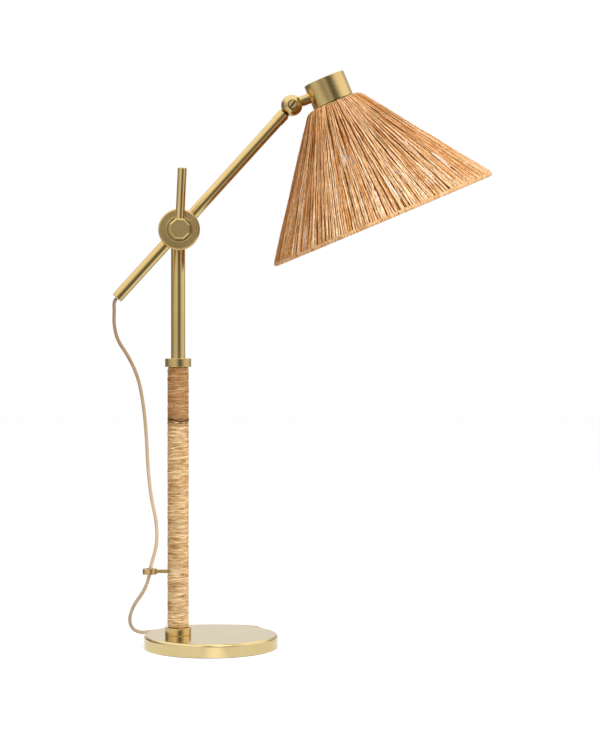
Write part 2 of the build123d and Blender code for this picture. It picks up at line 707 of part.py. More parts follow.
def make_cord():
    cord = Circle(cord_diameter / 2)
    step = cord_diameter + cord_gap
    low = tie_thickness + face_clearance + cord_diameter / 2
    high = low + step
    near = base_diameter / 2 + hank_base_gap + cord_diameter / 2
    fold = 2 * hank_fold_diameters * cord_diameter
    far = near + fold + (2 * hank_loops_low - 1) * step
    left, right = hank_left_angle, hank_right_angle

    # Low layer spirals in, the last far run climbs, and the high layer spirals out
    stations = []

    def run(radius, z_start, z_end, outward):
        begin, end = (left, right) if outward else (right, left)
        sign = 1 if outward else -1
        for angle, z in ((begin, z_start), (end, z_end)):
            point, way = polar(radius, angle, z)
            stations.append((point, way * sign))

    for loop in range(hank_loops_low):
        run(far - loop * step, low, low, True)
        run(near + loop * step, low, low, False)
    run(far - hank_loops_low * step, low, high, True)
    run(near + (hank_loops_low - 1) * step, high, high, False)
    run(far - (hank_loops_low - 1) * step, high, high, True)
    run(near + (hank_loops_low - 2) * step, high, high, False)

    fold_point, fold_way = stations[-1]
    outward = Vector(fold_point.X, fold_point.Y, 0).normalized()
    exit_radius = (far - near) / 2 - (hank_loops_low - 2) * step
    turn = math.radians(hank_exit_angle)
    exit_out = outward * (exit_radius * (1 - math.cos(turn)))
    exit_point = fold_point + exit_out + fold_way * (exit_radius * math.sin(turn))
    exit_way = outward * math.sin(turn) + fold_way * math.cos(turn)
    stations.append((exit_point, exit_way))
    start, start_way = stations[0]
    hank_start = start - start_way * cord_diameter
    hank_end = exit_point + exit_way * cord_diameter
    stations.insert(0, (hank_start, start_way))
    stations.append((hank_end, exit_way))
    path = joined(stations)
    hank = swept(path, cord, start_way)
    save("cord_hank", hank)
    report_tube("cord_hank", hank, path, cord_diameter)
    print(f"cord_hank: least gap to itself {self_gap(path, cord_diameter, 6 * cord_diameter):.2f} mm")
    total = path.length

    # The tie is a strap round the near runs
    tie_angle = (left + right) / 2
    bow = tie_width**2 / (8 * near)
    tie_in = near - bow - cord_diameter / 2 - face_clearance
    tie_out = near + (hank_loops_low - 1) * step + cord_diameter / 2 + face_clearance
    tie_top = high + cord_diameter / 2 + face_clearance
    across = tie_out - tie_in
    upright = (Align.CENTER, Align.CENTER, Align.MIN)
    strap = Box(across + 2 * tie_thickness, tie_width, tie_top + tie_thickness, align=upright)
    strap -= Pos(0, 0, tie_thickness) * Box(across, 2 * tie_width, tie_top - tie_thickness, align=upright)
    tie_place = polar((tie_in + tie_out) / 2, tie_angle, 0)[0]
    save("hank_tie", Location(tie_place) * Rot(0, 0, 90 - tie_angle) * strap)

    # Lead: out of the arm's end, down through the clip and along the table to the hank
    exit_reach = arm_lower_reach + bushing_flange_thickness + cord_exit_gap
    cord_exit = (arm * Location((-exit_reach, 0, 0))).position
    exit_next = (arm * Location((-exit_reach - cord_exit_run, 0, 0))).position
    clip_point = Vector(column_x - clip_reach, 0, clip_height)
    lead_turn = hank_start - start_way * hank_lead_run
    route = [
        cord_exit,
        exit_next,
        (-112.8, -20.0, 379.0),
        (-111.0, -19.5, 366.0),
        (-105.0, -18.5, 347.0),
        (-92.0, -16.5, 327.0),
        (-81.5, -15.0, 304.0),
        (-76.0, -13.5, 275.0),
        (-72.5, -11.0, 240.0),
        (-71.0, -8.5, 204.0),
        (-67.5, -6.0, 171.0),
        (-61.0, -3.0, 142.0),
        (-60.5, -1.0, 116.0),
        (clip_point.X + 1.2, 0.3, clip_height + 7.0),
        (clip_point.X - 1.2, 0.8, clip_height - 9.0),
        (-75.5, 12.0, 62.0),
        (-86.0, 35.0, 44.5),
        (-91.0, 59.0, 27.0),
        (-89.0, 81.0, 12.0),
        (-79.0, 100.0, low),
        lead_turn,
        hank_start,
    ]
    total += routed("cord_lead", route, cord)

    plug_start = Vector(plug_start_x, plug_start_y, high)
    back = Vector(0, 1, 0)
    tail_path = joined([(hank_end, exit_way), (plug_start - back * cord_diameter, back), (plug_start, back)])
    tail = swept(tail_path, cord, exit_way)
    save("cord_tail", tail)
    report_tube("cord_tail", tail, tail_path, cord_diameter)
    total += tail_path.length
    print(f"cord: {total:.0f} mm from the arm to the plug")
    make_plug(plug_start)


def routed(name, route, cord):
    """A tube along hand-chosen points, with each corner's arc as large as its runs allow."""
    points = [Vector(p) for p in route]
    runs = [(q - p).length for p, q in zip(points, points[1:])]
    radii = []
    for p, q, r in zip(points, points[1:], points[2:]):
        half_turn = math.radians((q - p).get_angle(r - q)) / 2
        radii.append(cord_arc_share * min((q - p).length, (r - q).length) / math.tan(half_turn))
    path = FilletPolyline(*points, radius=radii)
    solid = swept(path, cord, points[1] - points[0])
    save(name, solid)
    print(f"{name}: runs {[round(r) for r in runs]}, radii {[round(r) for r in radii]}")
    report_tube(name, solid, path, cord_diameter)
    return path.length


def make_plug(start):
    body_start = plug_relief_length
    outline = RectangleRounded(plug_width, 2 * start.Z, plug_edge_radius)
    body = Pos(0, 0, body_start) * extrude(outline, plug_length)
    wide = Pos(0, 0, body_start) * Circle(plug_relief_diameter / 2)
    narrow = Circle(cord_diameter / 2 + cord_gap)
    relief = loft([narrow, wide])
    place = Location(start) * Rot(-90, 0, 0)
    save("plug_body", place * (body + relief))
    blade_place = Pos(0, 0, body_start + plug_length + blade_length / 2)
    blade = blade_place * Box(blade_thickness, blade_width, blade_length)
    for side, name in ((-1, "left"), (1, "right")):
        save(f"plug_blade_{name}", place * Pos(side * blade_spacing / 2, 0, 0) * blade)


os.makedirs("parts", exist_ok=True)
make_base()
make_column()
make_clamp()
make_arm()
make_knuckle()
make_shade(make_head())
make_clip()
make_cord()
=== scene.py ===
import json
import math

import bpy
import numpy as np
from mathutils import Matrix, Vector
from mathutils import noise as cloud


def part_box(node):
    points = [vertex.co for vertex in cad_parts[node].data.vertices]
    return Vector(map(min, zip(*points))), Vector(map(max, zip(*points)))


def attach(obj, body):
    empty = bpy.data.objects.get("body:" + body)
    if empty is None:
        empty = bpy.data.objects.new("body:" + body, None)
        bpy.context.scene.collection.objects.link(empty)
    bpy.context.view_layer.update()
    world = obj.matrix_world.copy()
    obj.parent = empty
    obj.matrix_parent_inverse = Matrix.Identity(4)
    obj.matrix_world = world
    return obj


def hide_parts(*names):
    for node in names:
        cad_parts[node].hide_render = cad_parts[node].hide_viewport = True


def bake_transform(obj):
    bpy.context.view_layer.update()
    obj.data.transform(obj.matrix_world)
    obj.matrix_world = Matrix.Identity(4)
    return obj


# Desk lamp with a raffia shade and a raffia-wrapped column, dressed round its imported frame.
# Metres, in the frame's own axes: +Z up, +X towards the shade, -Y towards the lever.

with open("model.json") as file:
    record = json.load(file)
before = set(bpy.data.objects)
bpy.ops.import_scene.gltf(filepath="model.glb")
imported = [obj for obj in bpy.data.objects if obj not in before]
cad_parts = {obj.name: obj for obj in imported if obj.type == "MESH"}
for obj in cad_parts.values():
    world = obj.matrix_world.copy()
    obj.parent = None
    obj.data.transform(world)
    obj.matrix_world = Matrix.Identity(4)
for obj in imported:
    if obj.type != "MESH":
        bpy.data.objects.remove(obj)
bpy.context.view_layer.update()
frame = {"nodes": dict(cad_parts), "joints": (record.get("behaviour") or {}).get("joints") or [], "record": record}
nodes = frame["nodes"]
mounts = {m["name"]: m for m in frame["record"]["mounts"]}
joints = {j["name"]: j for j in frame["joints"]}
rng = np.random.default_rng(11)
mm = 0.001

# View of the photograph
view_yaw = 5.5
view_place = (-0.1132, -2.2194, 0.3594)
view_lens = 94.8
view_sensor = 36.0
view_shift = -0.0627

# Shade: its axis runs down through the lamp socket
socket_depth = 46.0 * mm
shade_axis = Vector(mounts["lamp_socket"]["axis"]).normalized()
cap_middle = Vector(mounts["lamp_socket"]["pos_m"]) - shade_axis * socket_depth
shade_across = Vector((0, 1, 0))
shade_side = shade_across.cross(-shade_axis).normalized()
shade_top = 14.4 * mm
shade_height = 139.8 * mm
shade_top_radius = 31.6 * mm
shade_rim_radius = 131.6 * mm
shade_shoulder = 12.0 * mm
strand_start_radius = 22.6 * mm
rim_wire_radius = 129.8 * mm
rim_wire_drop = 2.4 * mm
shade_strands = 284
under_strands = 220
strand_ribs = 92
shade_gaps = 46
loose_fibres = 260
rim_wraps = 520

# How the shade's strands lie: shares run from the crown to the rim, widths and depths are halves, a lay
# is an inset, a width and a depth, and a sway, lift or lump is a size and a rate
strand_sides = 6
crown_shares = (0.0, 0.6)
shoulder_points = 5
under_points, strand_points, fibre_points = 24, 46, 30
least_points = 3
strand_jitter, under_jitter, rib_jitter, gap_jitter = 0.16, 0.2, 0.22, 0.4
strand_pull, under_pull, rib_fade = 0.6, 0.1, 1.6
strand_push, strand_stray = 0.01, 0.004
gap_shares, gap_reaches = (0.42, 0.92), (0.035, 0.085)
gap_strands, gap_under_strands = 1.4, 0.75
strand_fill, strand_least, strand_widths = 0.435, 0.56 * mm, (0.84, 1.12)
strand_flatness, strand_most_depth = 0.8, 0.9 * mm
strand_tones = (0.66, 0.22)
# Painted light that pales the strands towards the rim, and painted shade that darkens them at the shade's two
# sides
rim_painted_light, side_painted_shade = 0.18, 0.3
under_inset, under_depth = 1.45 * mm, 0.3 * mm
under_width, under_widening = 1.2 * mm, 1.1 * mm
under_taper, under_tip = 0.06, 0.15
# Painted shade: the lower layer's tints run from a dark brown into the straw's brown
under_shade_tones = (0.0, 0.6)
# Painted light: pale strands in the gaps, standing for the lit lining, at the lower layer's inset
lit_lining_lay = (under_inset, 1.3 * mm, 0.25 * mm)
slow_sway, fine_sway, strand_lift, strand_lumps = (0.35 * mm, 9), (0.2 * mm, 31), (0.22 * mm, 13), (0.13, 57)
lump_noise = 0.07
fibre_lengths, fibre_tones, fibre_stray = (0.12, 0.4), (0.3, 1.0), 0.09
fibre_lay = (0.12 * mm, 0.16 * mm, 0.09 * mm)
rim_points, rim_loop_points = 180, 10
rim_core_radius = 1.8 * mm
rim_jitter, rim_tones = 0.15, (0.68, 0.1)
rim_widths, rim_depth = (0.9 * mm, 1.15 * mm), 0.34 * mm

# Column
column_x = sum(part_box("post_tube")[i].x for i in (0, 1)) / 2
wrap_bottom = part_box("raffia_wrap")[0].z
wrap_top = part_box("raffia_wrap")[1].z
wrap_core_radius = 10.9 * mm
wrap_radius = 11.5 * mm
wrap_pitch = 1.4 * mm
wrap_seam_height = 256.0 * mm
crossing_turns = 34
loose_ends = 70

# How the column's raffia lies: widths and depths are halves, and sways and swells are a size and a rate
core_sides = 24
turn_points, seam_points, cross_points, end_points = 30, 60, 26, 5
wrap_margin = 0.4 * mm
wave_size, wave_scale, wave_rate = 0.45 * mm, 1.3, 0.32
pile_size, pile_scale, pile_rate, pile_own = 0.4 * mm, 1.1, 0.55, (9, 0)
wound_width, pile_width, wound_depth = 0.63 * mm, 0.25 * mm, 0.55 * mm
seam_sway, seam_fine_sway, seam_swell = (0.7 * mm, 2), (0.3 * mm, 5), (0.2 * mm, 3)
seam_phase, seam_lift, seam_width, seam_depth = 0.6, 0.5 * mm, 0.62 * mm, 0.4 * mm
cross_foot, cross_head = 4.0 * mm, 14.0 * mm
cross_sway, cross_lift, cross_most_pale = (0.5 * mm, 9), 0.42 * mm, 0.35
cross_tip, cross_widening, cross_depth = 0.25 * mm, 0.65 * mm, 0.36 * mm
end_margin = 3.0 * mm
end_lift, end_spring, end_curl, end_tilt = 0.3 * mm, 0.45, 1.6, 0.2
end_width, end_thinning, end_depth = 0.16 * mm, 0.11 * mm, 0.06 * mm

# Cord: the route of the solid, then the hank behind the base
cord_diameter = 4.0 * mm
cord_gap = 0.45 * mm
cord_sides, cord_steps, cord_order = 10, 8, 3
pivot_place = Vector(joints["arm_tilt"]["pos_m"])
arm_angle = math.radians(47.9)
arm_way = Vector((math.cos(arm_angle), 0, math.sin(arm_angle)))
arm_exit_reach = 102.8 * mm
cord_exit_run = 4.4 * mm
clip_place = Vector((-68.6, 0, 86.6)) * mm
base_radius = 75.0 * mm
hank_base_gap = 1.6 * mm
hank_fold_diameters = 3.05
hank_left, hank_right = math.radians(-17.0), math.radians(27.0)
hank_loops_low = 3
run_points, fold_points, exit_points = 4, 6, 5
hank_exit_turn = math.radians(130.0)
hank_lead_run = 20.0 * mm
tie_lift = 0.45 * mm
plug_place = Vector((-32.0, 142.0, 0)) * mm
plug_run_diameters = 2.5

# Clamp
washer_sides = 72
lever_lean = math.radians(2.75)

# Studio: bearings and heights in degrees, with 0 in front of the lamp and 90 to its right
window_bearing, window_height = 24.0, 40.0
shadow_bearing, shadow_height = 3.0, 38.0
glint_bearing = 8.0
window_level, ceiling_level, soft_level, dark_level = 2.6, 1.25, 0.58, 0.25
shadow_share = 0.8
patch_edge = (0.95, 0.985)
ceiling_edge, horizon_edge = (0.3, 0.65), (-0.06, 0.0)
floor_reach = 6.0
paper_level, shaded_level, glow_level = 0.8, 0.42, 0.74
near_edge, distant_edge = (0.16, 0.4), (2.2, 3.4)
glint_edge, near_level, glint_level = (0.975, 1.0), 0.9, 1.26
key_light = {"place": (1.1, -1.7, 1.7), "aim": (0.05, 0.0, 0.4), "size": 1.5, "power": 42.0}
fill_light = {"place": (-1.5, -1.3, 1.1), "aim": (0.0, 0.0, 0.35), "size": 1.6, "power": 3.0}


def srgb(red, green, blue):
    """A screen colour, 0 to 255, as the linear colour that shaders take."""

    def linear(value):
        value /= 255
        return value / 12.92 if value <= 0.04045 else ((value + 0.055) / 1.055) ** 2.4

    return (linear(red), linear(green), linear(blue), 1.0)


def grey(level):
    """A colour without a tint."""
    return (level, level, level, 1.0)


def new_object(name, data):
    """A new object in the scene."""
    piece = bpy.data.objects.new(name, data)
    bpy.context.scene.collection.objects.link(piece)
    return piece


# Node helpers
def feed(tree, socket, value):
    """Link a socket to another, or set its own value."""
    if isinstance(value, bpy.types.NodeSocket):
        tree.links.new(value, socket)
    else:
        socket.default_value = value


def add(tree, kind, inputs=None, **settings):
    """A new node, with its settings, and its inputs set or linked."""
    node = tree.nodes.new("ShaderNode" + kind)
    for key, value in settings.items():
        setattr(node, key, value)
    for key, value in (inputs or {}).items():
        feed(tree, node.inputs[key], value)
    return node


def maths(tree, operation, first, second=0.0):
    """The result of one sum."""
    return add(tree, "Math", {0: first, 1: second}, operation=operation).outputs[0]


def times(tree, first, second):
    """Two values multiplied."""
    return maths(tree, "MULTIPLY", first, second)


def vector_maths(tree, operation, first, second):
    """The result of one sum of vectors."""
    node = add(tree, "VectorMath", {0: first}, operation=operation)
    feed(tree, node.inputs["Scale" if operation == "SCALE" else 1], second)
    return node.outputs["Value" if operation == "DOT_PRODUCT" else "Vector"]


def spread(tree, value, ends, to_low=0.0, to_high=1.0):
    """A value carried from one range to another."""
    inputs = {"Value": value, "From Min": ends[0], "From Max": ends[1], "To Min": to_low, "To Max": to_high}
    return add(tree, "MapRange", inputs).outputs["Result"]


def mixed(tree, share, first, second):
    """Two colours mixed."""
    node = add(tree, "Mix", data_type="RGBA")
    feed(tree, node.inputs["Factor"], share)
    feed(tree, node.inputs[6], first)
    feed(tree, node.inputs[7], second)
    return node.outputs[2]


def mottle(tree, place, scale=1.0, detail=2.0, rough=0.55):
    """A cloudy value from 0 to 1."""
    inputs = {"Vector": place, "Scale": scale, "Detail": detail, "Roughness": rough}
    return add(tree, "TexNoise", inputs).outputs[0]


def joined(tree, x, y, z=0.0):
    """A vector from three values."""
    return add(tree, "CombineXYZ", {0: x, 1: y, 2: z}).outputs[0]


def own_place(tree):
    """A point's place in the piece's own axes."""
    return add(tree, "TexCoord").outputs["Object"]


def attribute(tree, name, output="Fac"):
    """What a mesh holds at each point under a name."""
    return add(tree, "Attribute", attribute_name=name).outputs[output]


def new_group(name, inputs, outputs):
    """An empty shader group with named sockets."""
    tree = bpy.data.node_groups.new(name, "ShaderNodeTree")
    for label, kind in inputs:
        tree.interface.new_socket(label, in_out="INPUT", socket_type="NodeSocket" + kind)
    for label, kind in outputs:
        tree.interface.new_socket(label, in_out="OUTPUT", socket_type="NodeSocket" + kind)
    return tree, tree.nodes.new("NodeGroupInput").outputs, tree.nodes.new("NodeGroupOutput").inputs


def use_group(tree, group, inputs):
    """A group placed in a material with its own values."""
    return add(tree, "Group", inputs, node_tree=group).outputs


def empty_tree(owner):
    """The node tree of a material or a world, with nothing in it."""
    owner.use_nodes = True
    owner.node_tree.nodes.clear()
    return owner.node_tree


def new_material(name):
    """A material with one Principled shader, and its tree."""
    material = bpy.data.materials.new(name)
    tree = empty_tree(material)
    shader = add(tree, "BsdfPrincipled")
    add(tree, "OutputMaterial", {"Surface": shader.outputs[0]})
    return material, tree, shader.inputs


def coat(tree, surface, colour, roughness, normal):
    """What every finish sets."""
    feed(tree, surface["Base Color"], colour)
    feed(tree, surface["Roughness"], roughness)
    feed(tree, surface["Normal"], normal)


def bump(tree, height, strength, distance):
    """A normal raised by a height."""
    inputs = {"Height": height, "Strength": strength, "Distance": distance}
    return add(tree, "Bump", inputs).outputs[0]


# Shared effects: how often their marks repeat in a metre, and the ranges that their noise is taken from
slow_lines, smudges, clouds = 14.0, 26.0, 30.0
noise_ends, smudge_ends, fibre_ends = (0.3, 0.7), (0.35, 0.7), (0.34, 0.66)
fibre_twist, fibre_run, fibre_patches = 420.0, 150.0, 38.0
fibre_lanes, fibre_seeds = 9.0, 53.0
# Streak tones are partly the fibre's own and partly painted shade and highlight, following its bump
patch_tones, streak_tones_and_shade = (0.84, 1.14), (0.5, 1.38)
fold_ends, fold_richness = (0.5, 1.3), (1.24, 0.92)
fibre_gloss = (0.72, 0.52)
brass_marks = [("Streak", "Float"), ("Smudge", "Float")]


def along_axis(tree, place, axis):
    """Height along an axis, as a value and as a vector, and the way across it."""
    height = vector_maths(tree, "DOT_PRODUCT", place, axis)
    along = vector_maths(tree, "SCALE", axis, height)
    return height, along, vector_maths(tree, "SUBTRACT", place, along)


def make_drawn_grain():
    """Fine lines along an axis, as on drawn tube, with handling marks."""
    tree, given, out = new_group("drawn_grain", [("Axis", "Vector"), ("Fineness", "Float")], brass_marks)
    place = own_place(tree)
    along, across = along_axis(tree, place, given["Axis"])[1:]
    fine = vector_maths(tree, "SCALE", across, given["Fineness"])
    slow = vector_maths(tree, "SCALE", along, slow_lines)
    feed(tree, out["Streak"], mottle(tree, vector_maths(tree, "ADD", fine, slow)))
    feed(tree, out["Smudge"], mottle(tree, place, smudges))
    return tree


def make_turned_grain():
    """Fine rings round an axis, as a lathe leaves, with handling marks."""
    inputs = [("Centre", "Vector"), ("Axis", "Vector"), ("Fineness", "Float")]
    tree, given, out = new_group("turned_grain", inputs, brass_marks)
    place = own_place(tree)
    offset = vector_maths(tree, "SUBTRACT", place, given["Centre"])
    height, along, across = along_axis(tree, offset, given["Axis"])
    radius = maths(tree, "SQRT", vector_maths(tree, "DOT_PRODUCT", across, across))
    fine_radius = times(tree, radius, given["Fineness"])
    fine_height = times(tree, height, given["Fineness"])
    feed(tree, out["Streak"], mottle(tree, joined(tree, fine_radius, fine_height)))
    feed(tree, out["Smudge"], mottle(tree, place, smudges))
    return tree


def make_surface_grain():
    """Broad clouds and a fine grain over a plain surface."""
    marks = [("Cloud", "Float"), ("Grain", "Float")]
    tree, given, out = new_group("surface_grain", [("Fineness", "Float")], marks)
    place = own_place(tree)
    feed(tree, out["Cloud"], mottle(tree, place, clouds, detail=3.0))
    feed(tree, out["Grain"], mottle(tree, place, given["Fineness"]))
    return tree


def make_fibre():
    """Dry fibre along a strand: streaks that are its own tone and also painted shade in its low folds, richer
    where darker, and pale worn patches.
    """
    tree, given, out = new_group(
        "fibre",
        [("Tint", "Color"), ("Along", "Float"), ("Around", "Float"), ("Seed", "Float")],
        [("Color", "Color"), ("Height", "Float"), ("Roughness", "Float")],
    )
    twist = times(tree, given["Along"], fibre_twist)
    lane = maths(tree, "ADD", times(tree, given["Around"], fibre_lanes), twist)
    run = times(tree, given["Along"], fibre_run)
    own = times(tree, given["Seed"], fibre_seeds)
    streak = mottle(tree, joined(tree, run, lane, own), detail=4.0, rough=0.65)
    slow_run = times(tree, given["Along"], fibre_patches)
    patch = mottle(tree, joined(tree, slow_run, given["Around"], own))
    tone = spread(tree, patch, fibre_ends, *patch_tones)
    # Partly painted shade and highlight: the streaks darken where the bump is low and lighten where it is raised
    value = times(tree, spread(tree, streak, fibre_ends, *streak_tones_and_shade), tone)
    rich = spread(tree, value, fold_ends, *fold_richness)
    shade = {"Saturation": rich, "Value": value, "Color": given["Tint"]}
    feed(tree, out["Color"], add(tree, "HueSaturation", shade).outputs[0])
    feed(tree, out["Height"], streak)
    feed(tree, out["Roughness"], spread(tree, streak, noise_ends, *fibre_gloss))
    return tree


drawn_grain = make_drawn_grain()
turned_grain = make_turned_grain()
surface_grain = make_surface_grain()
fibre = make_fibre()

# Finishes
satin_tone = srgb(224, 195, 134)
satin_shadow = srgb(217, 186, 123)
# Painted shade: the colour that darkens the screw's slot
slot_shade_tone = srgb(70, 52, 28)
bright_tone = srgb(231, 208, 153)
bright_shadow = srgb(226, 202, 145)
drawn_fineness, turned_fineness, polished_fineness = 1400.0, 1600.0, 700.0
gloss_below, gloss_above = 0.05, 0.07
# How far below the screw's face the painted shade in its slot begins and ends
slot_shade_start, slot_shade_end = 0.2 * mm, 0.6 * mm
brass_relief, straw_relief, surface_relief, braid_relief = 0.2 * mm, 0.6 * mm, 0.3 * mm, 0.3 * mm
straw_bump, braid_bump = 0.55, 0.25
straw_shine = 0.22
braid_pitch, braid_threads, braid_wear = 2.2 * mm, 6, 60.0
braid_pale = (srgb(232, 206, 168), srgb(222, 194, 156))
# Painted shade: the cord's tones near the arm, where it is browner than further along
braid_shaded = (srgb(172, 143, 106), srgb(162, 132, 96))
# Painted shade in the braid's hollows, where the weave is lowest
braid_hollow_shade, braid_hollow_shade_share = srgb(142, 112, 80), 0.3
# How far along the cord the painted shade fades, in metres from the arm
braid_shade_run = (0.05, 0.24)
braid_roughness, braid_sheen = 0.6, 0.15


def brass(name, tone, shadow, gloss, grain, grain_inputs, depth):
    """Brass with a grain: two close tones, and a sheen broken by the lines."""
    material, tree, surface = new_material(name)
    marks = use_group(tree, grain, grain_inputs)
    share = spread(tree, marks["Smudge"], smudge_ends)
    sheen = spread(tree, marks["Streak"], noise_ends, gloss - gloss_below, gloss + gloss_above)
    relief = bump(tree, marks["Streak"], depth, brass_relief)
    coat(tree, surface, mixed(tree, share, tone, shadow), sheen, relief)
    surface["Metallic"].default_value = 1.0
    return material


def drawn_brass(name, axis):
    """Satin brass with lines along an axis."""
    grain = {"Axis": axis, "Fineness": drawn_fineness}
    return brass(name, satin_tone, satin_shadow, 0.17, drawn_grain, grain, 0.02)


def turned_brass(name, centre, axis, gloss=0.2, depth=0.02):
    """Satin brass with rings round an axis."""
    grain = {"Centre": centre, "Axis": axis, "Fineness": turned_fineness}
    return brass(name, satin_tone, satin_shadow, gloss, turned_grain, grain, depth)


def slotted_brass(name, centre):
    """Turned brass with painted shade below the screw's face, darkening its slot."""
    material = turned_brass(name, centre, (0, -1, 0), gloss=0.5)
    tree = material.node_tree
    base = tree.nodes["Principled BSDF"].inputs["Base Color"]
    depth = add(tree, "SeparateXYZ", {0: own_place(tree)}).outputs["Y"]
    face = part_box("knuckle_screw")[0].y
    # Painted shade: the slot darkens below the screw's face
    dark = spread(tree, depth, (face + slot_shade_start, face + slot_shade_end))
    feed(tree, base, mixed(tree, dark, base.links[0].from_socket, slot_shade_tone))
    return material


def polished_brass(name, centre, axis):
    """Brighter brass with broader rings."""
    grain = {"Centre": centre, "Axis": axis, "Fineness": polished_fineness}
    return brass(name, bright_tone, bright_shadow, 0.12, turned_grain, grain, 0.015)


def raffia(name, streak_length):
    """Raffia strands, each with its own tint and its own streaks."""
    material, tree, surface = new_material(name)
    given = {
        "Tint": attribute(tree, "tint", "Color"),
        "Along": maths(tree, "DIVIDE", attribute(tree, "along"), streak_length),
        "Around": attribute(tree, "around"),
        "Seed": attribute(tree, "seed"),
    }
    look = use_group(tree, fibre, given)
    relief = bump(tree, look["Height"], straw_bump, straw_relief)
    coat(tree, surface, look["Color"], look["Roughness"], relief)
    surface["Specular IOR Level"].default_value = straw_shine
    return material


def plain_finish(name, tone, shadow, gloss, fineness, depth, metallic):
    """A cast, painted, moulded or felted surface, in two tones with a grain."""
    material, tree, surface = new_material(name)
    marks = use_group(tree, surface_grain, {"Fineness": fineness})
    share = spread(tree, marks["Cloud"], noise_ends)
    sheen = spread(tree, marks["Grain"], noise_ends, *gloss)
    relief = bump(tree, marks["Grain"], depth, surface_relief)
    coat(tree, surface, mixed(tree, share, srgb(*tone), srgb(*shadow)), sheen, relief)
    surface["Metallic"].default_value = metallic
    return material


def cord_cloth():
    """A close braid on the cord: two sets of threads that cross, with painted shade in its hollows and painted
    shade browning it near the arm.
    """
    material, tree, surface = new_material("cord_cloth")
    along = times(tree, attribute(tree, "along"), 2 * math.pi / braid_pitch)
    around = times(tree, attribute(tree, "around"), 2 * math.pi * braid_threads)
    one = maths(tree, "SINE", maths(tree, "ADD", along, around))
    other = maths(tree, "SINE", maths(tree, "SUBTRACT", along, around))
    weave = times(tree, one, other)
    wear = spread(tree, mottle(tree, own_place(tree), braid_wear, detail=3.0), noise_ends)
    pale = mixed(tree, wear, *braid_pale)
    brown = mixed(tree, wear, *braid_shaded)
    # Painted shade: browner near the arm, paler further along
    lower = spread(tree, attribute(tree, "along"), braid_shade_run)
    # Painted shade: darker in the hollows, where the bump is lowest
    threads = spread(tree, weave, (-1.0, 1.0), braid_hollow_shade_share, 0.0)
    cloth = mixed(tree, threads, mixed(tree, lower, brown, pale), braid_hollow_shade)
    coat(tree, surface, cloth, braid_roughness, bump(tree, weave, braid_bump, braid_relief))
    surface["Sheen Weight"].default_value = braid_sheen
    return material


# Strands
class StrandMesh:
    """Strands gathered into one mesh, with what their material reads at each point."""

    def __init__(self, sides):
        self.sides = sides
        self.places, self.faces = [], []
        self.held = {"along": [], "around": [], "seed": [], "tint": []}
        self.count = 0

    def lay(self, line, facing, half_width, half_depth, tint, closed=False):
        """Lay one strand along a line, flat side facing out."""
        line = np.asarray(line, float)
        facing = np.asarray(facing, float)
        total = len(line)
        steps = np.roll(line, -1, 0) - np.roll(line, 1, 0) if closed else np.gradient(line, axis=0)
        ways = steps / np.linalg.norm(steps, axis=1, keepdims=True)
        side = np.cross(ways, facing)
        side /= np.linalg.norm(side, axis=1, keepdims=True)
        out = np.cross(side, ways)
        turn = 2 * np.pi * np.arange(self.sides) / self.sides - np.pi / 2
        wide = np.broadcast_to(half_width, total)[:, None, None]
        deep = np.broadcast_to(half_depth, total)[:, None, None]
        ring = line[:, None, :] + wide * np.cos(turn)[None, :, None] * side[:, None, :]
        ring = ring + deep * np.sin(turn)[None, :, None] * out[:, None, :]
        self.places.append(ring.reshape(-1, 3))
        first = self.count + np.arange(total if closed else total - 1)[:, None] * self.sides
        around = np.arange(self.sides)[None, :]
        after = (around + 1) % self.sides
        second = first + self.sides
        if closed:
            second[-1] = self.count
        quads = np.stack([first + around, first + after, second + after, second + around], -1)
        self.faces += quads.reshape(-1, 4).tolist()
        if not closed:
            last = self.count + (total - 1) * self.sides
            self.faces.append([self.count + k for k in reversed(range(self.sides))])
            self.faces.append([last + k for k in range(self.sides)])
        run = np.concatenate([[0], np.cumsum(np.linalg.norm(np.diff(line, axis=0), axis=1))])
        self.held["along"].append(np.repeat(run, self.sides))
        self.held["around"].append(np.tile(np.arange(self.sides) / self.sides, total))
        self.held["seed"].append(np.full(total * self.sides, rng.random()))
        colour = np.ones((total, 4))
        colour[:, :3] = np.broadcast_to(np.asarray(tint)[..., :3], (total, 3))
        self.held["tint"].append(np.repeat(colour, self.sides, axis=0))
        self.count += total * self.sides

    def make(self, name, material):
        """The strands as one object."""
        mesh = bpy.data.meshes.new(name)
        mesh.from_pydata(np.concatenate(self.places).tolist(), [], self.faces)
        mesh.polygons.foreach_set("use_smooth", [True] * len(mesh.polygons))
        for label, values in self.held.items():
            kind, field = ("FLOAT_COLOR", "color") if label == "tint" else ("FLOAT", "value")
            layer = mesh.attributes.new(label, kind, "POINT")
            layer.data.foreach_set(field, np.concatenate(values).astype(np.float32).ravel())
        mesh.materials.append(material)
        mesh.update()
        return new_object(name, mesh)


def between(first, second, share):
    """A colour part of the way from one to another."""
    first, second = np.asarray(first), np.asarray(second)
    return first + (second - first) * share


def held(value):
    """A share kept within 0 and 1."""
    return min(max(value, 0.0), 1.0)


def ripple(share, wave, phase=0.0):
    """A wave along a strand, from its size and rate."""
    size, rate = wave
    return size * np.sin(share * rate + phase)


def even_angles(count, jitter):
    """Angles round a circle, each a little off its even place."""
    return 2 * np.pi * (np.arange(count) + rng.uniform(-jitter, jitter, count)) / count


# Shade
straw_pale = srgb(253, 219, 178)
straw_tan = srgb(228, 170, 114)
straw_brown = srgb(178, 108, 56)
# Painted shade: the dark tint of the lower layer, under the strands above
straw_painted_shade = srgb(84, 40, 14)
# Painted light: the pale tint of the strands in the gaps, for the lit lining
straw_painted_light = srgb(250, 243, 246)


